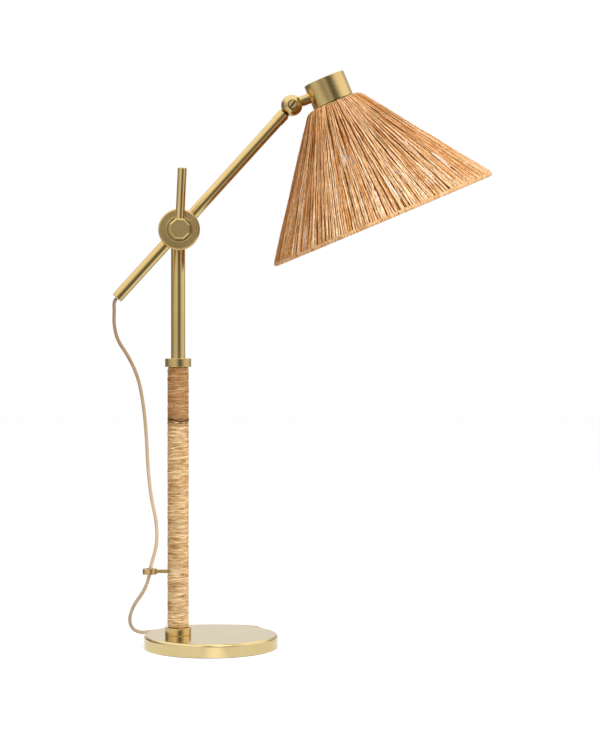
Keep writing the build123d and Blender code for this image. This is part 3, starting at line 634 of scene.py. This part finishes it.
def shade_profile(slope_points):
    """Radius, depth, way out and share of the slope, from the shade's crown to its rim."""
    rise = math.atan2(shade_height, shade_rim_radius - shade_top_radius)
    reach = shade_shoulder * math.tan(rise / 2)
    rows = []
    corner = shade_top_radius - reach
    for share in crown_shares:
        radius = strand_start_radius + (corner - strand_start_radius) * share
        rows.append((radius, shade_top, 0.0, -1.0, 0.0))
    for i in range(shoulder_points):
        turn = rise * i / (shoulder_points - 1)
        radius = corner + shade_shoulder * math.sin(turn)
        depth = shade_top + shade_shoulder * (1 - math.cos(turn))
        rows.append((radius, depth, math.sin(turn), -math.cos(turn), 0.0))
    start_radius, start_depth = rows[-1][:2]
    for i in range(1, slope_points + 1):
        share = i / slope_points
        radius = start_radius + (shade_rim_radius - start_radius) * share
        depth = start_depth + (shade_top + shade_height - start_depth) * share
        rows.append((radius, depth, math.sin(rise), -math.cos(rise), share))
    return np.array(rows)


def slope_part(profile, low, high):
    """The rows of a profile between two shares of the slope."""
    return profile[(profile[:, 4] >= low) & (profile[:, 4] <= high)]


def on_shade(radius, depth, angle):
    """Points about the shade's axis."""
    spoke = np.cos(angle)[..., None] * np.array(shade_side)
    spoke = spoke + np.sin(angle)[..., None] * np.array(shade_across)
    return np.array(cap_middle) + np.array(shade_axis) * depth[..., None] + radius[..., None] * spoke


class ShadeWeave:
    """Where the shade's strands draw together in ribs, and where they part over pale strands that are painted
    light.
    """

    def __init__(self):
        self.ribs = even_angles(strand_ribs, rib_jitter)
        self.gaps = even_angles(shade_gaps, gap_jitter)
        self.gap_depths = rng.uniform(*gap_shares, shade_gaps)
        self.gap_lengths = rng.uniform(*gap_reaches, shade_gaps)

    def drift(self, angle, share, pull, push):
        """How far round a strand strays from its own angle, along its length."""
        offsets = np.angle(np.exp(1j * (self.ribs - angle)))
        nearest = offsets[np.argmin(np.abs(offsets))]
        stray = pull * nearest * (1 - share) ** rib_fade + rng.normal(0, strand_stray) * share
        away = np.angle(np.exp(1j * (angle - self.gaps)))
        close = np.sign(away) * np.exp(-((away * shade_strands / 2 / np.pi / gap_strands) ** 2))
        along = np.exp(-(((share[:, None] - self.gap_depths) / self.gap_lengths) ** 2))
        return stray + push * (along * close).sum(1)

    def open_at(self, angle):
        """The gaps that a lower strand at this angle stops short of."""
        away = np.abs(np.angle(np.exp(1j * (angle - self.gaps))))
        near = away < gap_under_strands * 2 * np.pi / under_strands
        starts = self.gap_depths[near] - self.gap_lengths[near]
        return sorted(zip(starts, starts + 2 * self.gap_lengths[near]))


def shade_strand(mesh, rows, angles, inset, half_width, half_depth, tint):
    """One strand laid down the shade, lumpy as hand-twisted straw is."""
    radius, depth, out_radius, out_depth, share = rows.T
    phase = rng.random(4) * 2 * np.pi
    sway = ripple(share, slow_sway, phase[0]) + ripple(share, fine_sway, phase[1])
    angles = angles + sway / radius
    lift = ripple(share, strand_lift, phase[2]) - inset
    line = on_shade(radius + out_radius * lift, depth + out_depth * lift, angles)
    spoke = on_shade(out_radius, out_depth, angles) - np.array(cap_middle)
    lumps = 1 + ripple(share, strand_lumps, phase[3]) + rng.normal(0, lump_noise, len(share))
    mesh.lay(line, spoke, half_width * lumps, half_depth, tint)


def straw_tone(tone):
    """Straw colours, from brown at 0 through tan to pale at 1."""
    channels = zip(straw_brown, straw_tan, straw_pale)
    return np.stack([np.interp(tone, (0.0, 0.5, 1.0), levels) for levels in channels], -1)


def make_shade_strands(material):
    """The shade: a lower layer, the strands over it and fibres come loose from them."""
    weave = ShadeWeave()
    mesh = StrandMesh(strand_sides)

    # The lower layer, tinted dark as painted shade under the strands above; where they part, pale strands paint
    # the light of the lining
    profile = shade_profile(under_points)
    close_profile = shade_profile(strand_points)
    for i in range(under_strands):
        angle = 2 * np.pi * (i + rng.normal(0, under_jitter)) / under_strands
        # Painted shade: each lower strand is tinted dark
        tint = between(straw_painted_shade, straw_brown, rng.uniform(*under_shade_tones))
        stops = [-np.inf]
        for low, high in weave.open_at(angle):
            stops += [low, high]
            rows = slope_part(close_profile, low, high)
            if len(rows) >= least_points:
                angles = np.full(len(rows), angle)
                # Painted light: a pale strand where the strands above part
                shade_strand(mesh, rows, angles, *lit_lining_lay, straw_painted_light)
        stops.append(np.inf)
        for low, high in zip(stops[::2], stops[1::2]):
            rows = slope_part(profile, low, high)
            if len(rows) >= least_points:
                share = rows[:, 4]
                ends = np.minimum(share - low, high - share) / under_taper
                width = (under_width + under_widening * share) * np.clip(ends, under_tip, 1.0)
                angles = angle + weave.drift(angle, share, under_pull, 0.0)
                shade_strand(mesh, rows, angles, under_inset, width, under_depth, tint)

    # The strands that show, paler down the shade as painted light and darker at its two sides as painted shade
    share = close_profile[:, 4]
    pitch = 2 * np.pi * close_profile[:, 0] / shade_strands
    for i in range(shade_strands):
        angle = 2 * np.pi * (i + rng.normal(0, strand_jitter)) / shade_strands
        angles = angle + weave.drift(angle, share, strand_pull, strand_push)
        # Painted light towards the rim and painted shade at the two sides, on each strand's tone
        tone = rng.normal(*strand_tones) + rim_painted_light * share - side_painted_shade * np.cos(angle) ** 2
        width = np.maximum(strand_fill * pitch, strand_least) * rng.uniform(*strand_widths)
        depth = np.minimum(strand_flatness * width, strand_most_depth)
        inset = rng.uniform(0.75, 1.5) * mm
        shade_strand(mesh, close_profile, angles, inset, width, depth, straw_tone(tone))

    # Thin fibres that have come loose along the strands
    profile = shade_profile(fibre_points)
    for _ in range(loose_fibres):
        angle = rng.uniform(0, 2 * np.pi)
        first = rng.uniform(0.02, 0.85)
        rows = slope_part(profile, first, first + rng.uniform(*fibre_lengths))
        if len(rows) >= least_points:
            reach = rows[:, 4] - rows[0, 4]
            angles = angle + rng.normal(0, fibre_stray) * reach
            tint = straw_tone(rng.uniform(*fibre_tones))
            shade_strand(mesh, rows, angles, *fibre_lay, tint)
    piece = mesh.make("shade_strands", material)
    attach(piece, "head")
    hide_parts("raffia_skin")


def make_rim(material):
    """The rim: strands wound close round its wire."""
    mesh = StrandMesh(strand_sides)
    depth = shade_top + shade_height + rim_wire_drop
    round_rim = np.linspace(0, 2 * np.pi, rim_points, endpoint=False)
    flat = np.full_like(round_rim, depth)
    ring = on_shade(np.full_like(round_rim, rim_wire_radius), flat, round_rim)
    spokes = on_shade(np.ones_like(round_rim), np.zeros_like(round_rim), round_rim) - np.array(cap_middle)
    mesh.lay(ring, spokes, rim_core_radius, rim_core_radius, straw_brown, closed=True)
    turn = np.linspace(0, 2 * np.pi, rim_loop_points, endpoint=False)
    out_radius, out_depth = np.cos(turn), np.sin(turn)
    for i in range(rim_wraps):
        angle = 2 * np.pi * (i + rng.normal(0, rim_jitter)) / rim_wraps
        loop = rng.uniform(2.1, 2.22) * mm
        slant = rng.uniform(1.0, 1.7) * mm / rim_wire_radius
        angles = angle + slant * np.cos(turn)
        line = on_shade(rim_wire_radius + loop * out_radius, depth + loop * out_depth, angles)
        spoke = on_shade(out_radius, out_depth, angles) - np.array(cap_middle)
        tint = straw_tone(rng.normal(*rim_tones))
        mesh.lay(line, spoke, rng.uniform(*rim_widths), rim_depth, tint, closed=True)
    piece = mesh.make("rim_wraps", material)
    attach(piece, "head")
    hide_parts("rim_binding")


# Column
column_gold = srgb(244, 208, 157)
column_pale = srgb(254, 230, 187)
column_rust = srgb(210, 157, 104)
column_brown = srgb(203, 161, 118)
column_stain = srgb(164, 98, 54)
column_seam = srgb(104, 64, 34)

# Clouds on the wrap: how fast they change round it, the height that they change in and their own place
broad_cloud = (0.9, 19.0 * mm, (0, 0))
fine_cloud = (1.6, 1.1 * mm, (0, 0))
stain_cloud = (1.2, 1.6 * mm, (5, 0))
ragged_cloud = (2.0, 2.0 * mm, (0, 9))
waver_scale, waver_place, waver_size = 1.5, 3.0, 1.6 * mm

# Shares of a tint: at the seam, gained towards the foot, with broad clouds and with fine clouds
rust_parts = (0.26, -0.3, 0.5, 0.9)
pale_parts = (0.0, 0.4, -0.4, -0.6)
upper_parts = (0.3, 0.0, 0.0, 0.8)
stain_gain, stain_start, stain_most = 1.7, 0.45, 0.6
seam_reach, seam_blend, seam_share = 4.4 * mm, 6.0 * mm, 0.9
ragged_start, ragged_gain = 0.6, 2.0


def wrap_noise(angle, scale, along, own):
    """A cloudy value from -1 to 1, round the column and along it."""
    return cloud.noise(Vector((math.cos(angle) * scale + own[0], math.sin(angle) * scale + own[1], along)))


def column_tint(height, angle):
    """The wrap's tone: browner near its top, an uneven dark seam, then golden and paler to its foot."""
    clouds_here = []
    for scale, run, own in (broad_cloud, fine_cloud, stain_cloud, ragged_cloud):
        clouds_here.append(wrap_noise(angle, scale, height / run, own))
    broad, fine, stain, ragged = clouds_here
    height += waver_size * wrap_noise(angle, waver_scale, waver_place, (0, 0))
    above = height - wrap_seam_height
    drop = -above / (wrap_seam_height - wrap_bottom)

    def share_of(parts):
        """The share of a tint at this place."""
        return held(parts[0] + parts[1] * drop + parts[2] * broad + parts[3] * fine)

    lower = between(column_gold, column_rust, share_of(rust_parts))
    lower = between(lower, column_pale, share_of(pale_parts))
    upper = between(column_brown, column_rust, share_of(upper_parts))
    tint = between(lower, upper, held(above / seam_blend + 0.5))
    tint = between(tint, column_stain, min(held(stain_gain * stain - stain_start), stain_most))
    seam = math.exp(-((above / seam_reach) ** 2))
    return between(tint, column_seam, seam_share * seam * held(ragged_start + ragged_gain * ragged))


def column_strand(mesh, radii, angles, heights, half_width, half_depth, tint, tilt=0.0, closed=False):
    """One strand laid round the column."""
    across, away = np.cos(angles), np.sin(angles)
    line = np.stack([column_x + radii * across, radii * away, heights], -1)
    facing = np.stack([across, away, np.full_like(across, tilt)], -1)
    mesh.lay(line, facing, half_width, half_depth, tint, closed)


def make_column_wrap(material):
    """The column: a core, its wound strand, the dark turn at the seam, and stray turns and ends."""
    mesh = StrandMesh(core_sides)
    core = [(column_x, 0, wrap_bottom), (column_x, 0, wrap_top)]
    mesh.lay(core, [(1, 0, 0)] * len(core), wrap_core_radius, wrap_core_radius, column_rust)
    mesh.sides = strand_sides

    turns = int((wrap_top - wrap_bottom) / wrap_pitch) - 1
    rows = []
    for i in range(turns * turn_points + 1):
        turn = i / turn_points
        angle = 2 * math.pi * turn
        wave = wrap_noise(angle, wave_scale, turn * wave_rate, (0, 0))
        pile = wrap_noise(angle, pile_scale, turn * pile_rate, pile_own)
        height = wrap_bottom + wrap_pitch * (turn + 0.5) + wave_size * wave
        height = min(max(height, wrap_bottom + wrap_margin), wrap_top - wrap_margin)
        rows.append((angle, height, pile, *column_tint(height, angle)))
    angles, heights, piles = np.array(rows)[:, :3].T
    tints = np.array(rows)[:, 3:]
    radii = wrap_radius + pile_size * piles
    column_strand(mesh, radii, angles, heights, wound_width + pile_width * piles, wound_depth, tints)

    # The turn that starts the lower length of raffia
    turn = np.linspace(0, 2 * np.pi, seam_points, endpoint=False)
    heights = wrap_seam_height + ripple(turn, seam_sway, seam_phase) + ripple(turn, seam_fine_sway)
    width = seam_width + ripple(turn, seam_swell)
    column_strand(mesh, wrap_radius + seam_lift, turn, heights, width, seam_depth, column_seam, closed=True)

    # Uneven turns that cross the even ones
    shares = np.linspace(0, 1, cross_points)
    swell = np.sin(np.pi * shares)
    for _ in range(crossing_turns):
        start = rng.uniform(0, 2 * math.pi)
        sweep = rng.uniform(1.6, 6.5)
        low = rng.uniform(wrap_bottom + cross_foot, wrap_top - cross_head)
        climb = rng.uniform(2.0, 9.0) * mm
        angles = start + sweep * shares
        heights = low + climb * shares + ripple(shares, cross_sway, start)
        raised = wrap_radius + cross_lift * np.sqrt(swell)
        tint = column_tint(low + climb / 2, start + sweep / 2)
        tint = between(tint, column_pale, rng.uniform(0, cross_most_pale))
        width = cross_tip + cross_widening * swell
        column_strand(mesh, raised, angles, heights, width, cross_depth, tint)

    # Loose ends that stand off the wrap
    shares = np.linspace(0, 1, end_points)
    for _ in range(loose_ends):
        angle = rng.uniform(0, 2 * math.pi)
        height = rng.uniform(wrap_bottom + end_margin, wrap_top - end_margin)
        reach = rng.uniform(1.5, 4.5) * mm
        rise = rng.normal(0, 0.8) * mm
        radii = wrap_radius + end_lift + reach * end_spring * shares**end_curl
        angles = angle + reach * shares / wrap_radius
        heights = height + rise * shares
        width = end_width - end_thinning * shares
        column_strand(mesh, radii, angles, heights, width, end_depth, column_pale, end_tilt)
    piece = mesh.make("column_wrap", material)
    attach(piece, "stand")
    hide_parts("raffia_wrap", "raffia_winding")


# Cord
def round_base(radius, angle, height):
    """A point round the base, its angle from +Y towards +X, and the ways out and round."""
    out = Vector((math.sin(angle), math.cos(angle), 0))
    way = Vector((math.cos(angle), -math.sin(angle), 0))
    return out * radius + Vector((0, 0, height)), out, way


def hank_points(low, high):
    """The hank's control points: curved runs beside the base, and half-round folds at their ends."""
    step = cord_diameter + cord_gap
    near = base_radius + hank_base_gap + cord_diameter / 2
    far = near + 2 * hank_fold_diameters * cord_diameter + (2 * hank_loops_low - 1) * step
    last = hank_loops_low - 1
    passes = []
    for loop in range(hank_loops_low):
        passes += [(far - loop * step, low, low), (near + loop * step, low, low)]
    passes += [(far - hank_loops_low * step, low, high), (near + last * step, high, high)]
    passes += [(far - last * step, high, high), (near + (last - 1) * step, high, high)]
    points = []
    half = (hank_right - hank_left) / run_points / 2
    for i, (radius, start, end) in enumerate(passes):
        outward = i % 2 == 0
        begin, finish = (hank_left, hank_right) if outward else (hank_right, hank_left)
        for k in range(run_points):
            share = (k + 0.5) / run_points
            angle = begin + (finish - begin) * share
            points.append(round_base(radius / math.cos(half), angle, start + (end - start) * share)[0])
        if i == len(passes) - 1:
            break
        middle = (radius + passes[i + 1][0]) / 2
        reach = (radius - passes[i + 1][0]) / 2
        centre, out, way = round_base(middle, finish, end)
        bulge = abs(reach) / math.cos(math.pi / fold_points / 2)
        for k in range(fold_points):
            turn = math.pi * (k + 0.5) / fold_points
            across = out * (math.copysign(bulge, reach) * math.cos(turn))
            points.append(centre + across + way * (bulge * math.sin(turn) * (1 if outward else -1)))

    # The last run turns out, short of a half circle, and leaves for the plug
    fold, out, way = round_base(passes[-1][0], hank_left, high)
    radius = (far - near) / 2 - (last - 1) * step
    bulge = radius / math.cos(hank_exit_turn / exit_points / 2)
    for k in range(exit_points):
        turn = hank_exit_turn * (k + 0.5) / exit_points
        points.append(fold + out * (radius - bulge * math.cos(turn)) - way * (bulge * math.sin(turn)))
    leave = out * math.sin(hank_exit_turn) - way * math.cos(hank_exit_turn)
    left_at = fold + out * (radius * (1 - math.cos(hank_exit_turn)))
    left_at -= way * (radius * math.sin(hank_exit_turn))
    start, _, start_way = round_base(far, hank_left, low)
    return start - start_way * cord_diameter, start_way, points, left_at + leave * cord_diameter


def cord_route():
    """Control points of the whole cord, from the arm's lower end to the plug."""
    low = tie_lift + cord_diameter / 2
    high = low + cord_diameter + cord_gap
    hank_start, hank_way, loops, hank_end = hank_points(low, high)
    leaves = pivot_place - arm_way * arm_exit_reach
    route = [leaves, leaves - arm_way * cord_exit_run]
    hanging = [
        (-108.2, -20.0, 379.0), (-108.8, -19.5, 364.0), (-105.0, -18.5, 346.0), (-92.0, -16.5, 327.0),
        (-81.5, -15.0, 304.0), (-76.0, -13.5, 275.0), (-72.5, -11.0, 240.0), (-71.0, -8.5, 204.0),
        (-67.5, -6.0, 171.0), (-61.0, -3.0, 142.0), (-60.5, -1.0, 116.0),
    ]
    route += [Vector(p) * mm for p in hanging]
    through_clip = [(1.2, 0.3, 7.0), (-1.2, 0.8, -9.0)]
    route += [clip_place + Vector(p) * mm for p in through_clip]
    lying = [(-75.5, 12.0, 62.0), (-86.0, 35.0, 44.5), (-91.0, 59.0, 27.0), (-89.0, 81.0, 12.0)]
    route += [Vector(p) * mm for p in lying]
    route.append(Vector((-79.0 * mm, 100.0 * mm, low)))
    route.append(hank_start - hank_way * hank_lead_run)
    route.append(hank_start)
    route += loops
    end = plug_place + Vector((0, 0, high))
    route += [hank_end, end - Vector((0, plug_run_diameters * cord_diameter, 0)), end]
    return route


def make_cord(material):
    """The cord: one round strand along its route."""
    curve = bpy.data.curves.new("cord_line", "CURVE")
    curve.dimensions = "3D"
    curve.resolution_u = cord_steps
    route = cord_route()
    spline = curve.splines.new("NURBS")
    spline.points.add(len(route) - 1)
    for point, place in zip(spline.points, route):
        point.co = (*place, 1.0)
    spline.order_u = cord_order
    spline.use_endpoint_u = True
    line = bpy.data.objects.new("cord_line", curve)
    path = [v.co.copy() for v in bpy.data.meshes.new_from_object(line).vertices]
    bpy.data.objects.remove(line)

    facing = [Vector((0, -1, 0))]
    for before, here in zip(path, path[1:]):
        way = (here - before).normalized()
        carried = facing[-1] - way * facing[-1].dot(way)
        facing.append(carried.normalized())
    mesh = StrandMesh(cord_sides)
    radius = cord_diameter / 2
    mesh.lay([tuple(p) for p in path], [tuple(f) for f in facing], radius, radius, straw_tan)
    piece = mesh.make("cord", material)
    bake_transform(piece)
    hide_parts("cord_lead", "cord_hank", "cord_tail")


# Clamp
def make_nut_washer():
    """The thin washer round the lever's nut, its profile in mm turned about the pivot."""
    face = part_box("front_disc")[0].y
    profile = [(11.0, 0.1), (14.5, 0.1), (14.5, 0.55), (14.0, 1.0), (11.0, 1.0)]
    count = len(profile)
    places, faces = [], []
    for i in range(washer_sides):
        turn = 2 * math.pi * i / washer_sides
        here, after = i * count, (i + 1) % washer_sides * count
        for k, (radius, proud) in enumerate(profile):
            x = pivot_place.x + radius * mm * math.cos(turn)
            z = pivot_place.z + radius * mm * math.sin(turn)
            places.append((x, face - proud * mm, z))
            j = (k + 1) % count
            faces.append((here + k, after + k, after + j, here + j))
    mesh = bpy.data.meshes.new("nut_washer")
    mesh.from_pydata(places, [], faces)
    mesh.materials.append(turned_brass("brass_washer", tuple(pivot_place), (0, -1, 0)))
    piece = new_object("nut_washer", mesh)
    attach(piece, "lever")


# Finishes of the solid pieces: name, tone, shadow, roughness, fineness, depth, metal and the pieces
steel_pieces = "base_washer base_nut column_stud neck_nut holder_stud knuckle_washer"
holder_pieces = "lampholder_body retaining_ring switch_knob"
wire_pieces = "bottom_ring shade_spider"
plain_finishes = (
    ("cast_iron", (70, 68, 66), (52, 50, 48), (0.6, 0.8), 500.0, 0.4, 0.6, "base_weight"),
    ("felt", (44, 43, 41), (34, 33, 32), (0.9, 1.0), 2600.0, 0.8, 0.0, "base_pad"),
    ("zinc_steel", (186, 188, 190), (170, 172, 174), (0.28, 0.42), 900.0, 0.1, 1.0, steel_pieces),
    ("fibre_washer", (112, 62, 40), (96, 52, 34), (0.7, 0.85), 1500.0, 0.4, 0.0, "friction_washer"),
    ("card", (186, 160, 120), (172, 146, 108), (0.8, 0.9), 1200.0, 0.3, 0.0, "column_sleeve"),
    ("white_liner", (243, 239, 229), (236, 231, 220), (0.62, 0.74), 1400.0, 0.25, 0.0, "shade_liner"),
    ("white_wire", (240, 236, 227), (231, 226, 215), (0.35, 0.5), 700.0, 0.2, 0.0, wire_pieces),
    ("moulded_black", (34, 32, 31), (27, 25, 24), (0.32, 0.46), 900.0, 0.15, 0.0, holder_pieces),
    ("lead_cover", (176, 146, 110), (164, 134, 98), (0.5, 0.65), 900.0, 0.2, 0.0, "inner_lead"),
    ("tie_black", (46, 45, 44), (36, 35, 34), (0.5, 0.65), 900.0, 0.2, 0.0, "hank_tie"),
    ("plug_cover", (178, 150, 116), (166, 138, 104), (0.42, 0.55), 1100.0, 0.25, 0.0, "plug_body"),
)


def dress(material, *names):
    """Give solid pieces a finish."""
    for name in names:
        slots = nodes[name].data.materials
        slots.clear()
        slots.append(material)


def dress_solids():
    """Give every solid piece that shows its finish."""
    up = (0, 0, 1)
    front = (0, -1, 0)
    column = (column_x, 0, 0)
    pivot = tuple(pivot_place)
    dress(drawn_brass("brass_post", up), "post_tube")
    dress(drawn_brass("brass_arm", tuple(arm_way)), "arm_upper_tube", "arm_lower_tube")
    dress(turned_brass("brass_arm_rings", pivot, tuple(arm_way)), "arm_ferrule", "arm_end_bushing")
    dress(drawn_brass("brass_lever", (math.sin(lever_lean), 0, math.cos(lever_lean))), "lever_rod")
    dress(turned_brass("brass_collars", column, up), "base_collar", "top_collar")
    dress(turned_brass("brass_clip", column, up, gloss=0.3), "cord_clip")
    dress(turned_brass("brass_clamp", pivot, front), "post_head", "arm_hub", "pivot_bolt")
    dress(turned_brass("brass_faces", pivot, front, gloss=0.37, depth=0.04), "front_disc", "lever_nut")
    knuckle = tuple(joints["head_tilt"]["pos_m"])
    dress(turned_brass("brass_knuckle", knuckle, front), "knuckle_arm_half", "knuckle_head_half")
    dress(slotted_brass("brass_screw", knuckle), "knuckle_screw")
    dress(turned_brass("brass_cap", tuple(cap_middle), tuple(shade_axis)), "socket_cap")
    dress(polished_brass("brass_base", (0, 0, 0), up), "base_shell")
    contact = turned_brass("brass_contacts", tuple(cap_middle), tuple(shade_axis), gloss=0.3)
    dress(contact, "screw_shell", "centre_contact", "plug_blade_left", "plug_blade_right")
    for *finish, pieces in plain_finishes:
        dress(plain_finish(*finish), *pieces.split())


# Stage
# How bright the room is to metal, by bearing in degrees: 0 in front of the lamp, 90 to its right
room_levels = (
    (-180, 0.83), (-160, 0.75), (-140, 0.2), (-105, 0.2), (-85, 0.62), (-50, 0.82), (-20, 0.94), (-4, 0.6),
    (8, 0.12), (30, 0.12), (46, 0.6), (65, 1.05), (110, 1.1), (130, 0.45), (160, 0.6), (180, 0.83),
)


def room_way(bearing, height=0.0):
    """The way from the lamp to a place in the studio."""
    turn = math.radians(bearing - view_yaw) - math.pi / 2
    lift = math.radians(height)
    return (math.cos(turn) * math.cos(lift), math.sin(turn) * math.cos(lift), math.sin(lift))


def make_room():
    """The studio's level in a direction, for the world and for the floor that metal reflects."""
    outputs = [("Color", "Color"), ("Bearing", "Float")]
    tree, given, out = new_group("room", [("Way", "Vector")], outputs)
    ahead = vector_maths(tree, "DOT_PRODUCT", given["Way"], room_way(0.0))
    aside = vector_maths(tree, "DOT_PRODUCT", given["Way"], room_way(90.0))
    bearing = maths(tree, "ARCTAN2", aside, ahead)
    ramp = add(tree, "ValToRGB", {"Fac": spread(tree, bearing, (-math.pi, math.pi))})
    stops = ramp.color_ramp.elements
    stops.remove(stops[1])
    for degrees, level in room_levels:
        stops.new(degrees / 360 + 0.5).color = grey(level)
    stops.remove(stops[0])
    feed(tree, out["Color"], ramp.outputs["Color"])
    feed(tree, out["Bearing"], bearing)
    return tree


room = make_room()


def seen_rays(tree):
    """The kinds of ray, and whether this is one that the camera sees by."""
    path = add(tree, "LightPath").outputs
    return path, maths(tree, "MAXIMUM", path["Is Camera Ray"], path["Is Transmission Ray"])


def make_floor():
    """A pale table: white to the camera apart from the lamp's shadow, and part of the room to metal."""
    mesh = bpy.data.meshes.new("floor")
    corners = [(x * floor_reach, y * floor_reach, 0) for x, y in ((-1, -1), (1, -1), (1, 1), (-1, 1))]
    mesh.from_pydata(corners, [], [(0, 1, 2, 3)])
    floor = new_object("floor", mesh)
    material = bpy.data.materials.new("floor")
    tree = empty_tree(material)
    path, seen = seen_rays(tree)
    paper = add(tree, "BsdfDiffuse", {"Color": grey(paper_level)}).outputs[0]
    shaded = add(tree, "BsdfDiffuse", {"Color": grey(shaded_level)}).outputs[0]
    glow = add(tree, "Emission", {"Color": grey(1.0), "Strength": glow_level}).outputs[0]
    pale = add(tree, "AddShader", {0: shaded, 1: glow}).outputs[0]
    surface = add(tree, "MixShader", {0: seen, 1: paper, 2: pale}).outputs[0]
    place = add(tree, "NewGeometry").outputs["Position"]
    level = use_group(tree, room, {"Way": place})
    distance = add(tree, "VectorMath", {0: place}, operation="LENGTH").outputs["Value"]
    aside = maths(tree, "SUBTRACT", level["Bearing"], math.radians(glint_bearing))
    near = spread(tree, maths(tree, "COSINE", aside), glint_edge, near_level, glint_level)
    tone = mixed(tree, spread(tree, distance, near_edge), near, level["Color"])
    tone = mixed(tree, spread(tree, distance, distant_edge), tone, grey(dark_level))
    table = add(tree, "Emission", {"Color": tone}).outputs[0]
    surface = add(tree, "MixShader", {0: path["Is Glossy Ray"], 1: surface, 2: table}).outputs[0]
    add(tree, "OutputMaterial", {"Surface": surface})
    mesh.materials.append(material)


def make_world():
    """White to the camera; to metal, the room with a window and a shadow under a bright ceiling."""
    world = bpy.data.worlds.new("studio")
    bpy.context.scene.world = world
    tree = empty_tree(world)
    path, seen = seen_rays(tree)
    way = add(tree, "TexCoord").outputs["Generated"]
    level = use_group(tree, room, {"Way": way})["Color"]
    height = add(tree, "SeparateXYZ", {0: way}).outputs["Z"]
    around = mixed(tree, spread(tree, height, ceiling_edge), level, grey(ceiling_level))
    around = mixed(tree, spread(tree, height, horizon_edge), grey(dark_level), around)
    patches = (
        (room_way(shadow_bearing, shadow_height), shadow_share, dark_level),
        (room_way(window_bearing, window_height), 1.0, window_level),
    )
    for patch_way, share, patch_level in patches:
        toward = vector_maths(tree, "DOT_PRODUCT", way, patch_way)
        around = mixed(tree, spread(tree, toward, patch_edge, 0.0, share), around, grey(patch_level))
    soft = mixed(tree, path["Is Glossy Ray"], grey(soft_level), around)
    colour = mixed(tree, seen, soft, grey(1.0))
    back = add(tree, "Background", {"Color": colour}).outputs[0]
    add(tree, "OutputWorld", {"Surface": back})


def make_light(name, place, aim, size, power):
    """A soft square light that metal does not mirror."""
    light = bpy.data.lights.new(name, "AREA")
    light.size = size
    light.energy = power
    lamp = new_object(name, light)
    lamp.location = place
    lamp.rotation_euler = (Vector(aim) - Vector(place)).to_track_quat("-Z", "Y").to_euler()
    lamp.visible_glossy = False


def make_camera():
    """The level camera that the photograph was taken with."""
    lens = bpy.data.cameras.new("camera")
    lens.lens = view_lens
    lens.sensor_width = view_sensor
    lens.shift_y = view_shift
    camera = new_object("camera", lens)
    camera.location = view_place
    camera.rotation_euler = (math.pi / 2, 0, -math.radians(view_yaw))
    bpy.context.scene.camera = camera


bpy.context.scene.view_settings.view_transform = "Standard"
make_camera()
make_cord(cord_cloth())
straw = raffia("raffia", streak_length=1.0)
make_shade_strands(straw)
make_rim(straw)
make_column_wrap(raffia("column_raffia", streak_length=3.0))
dress_solids()
make_nut_washer()
make_floor()
make_world()
make_light("key", **key_light)
make_light("fill", **fill_light)
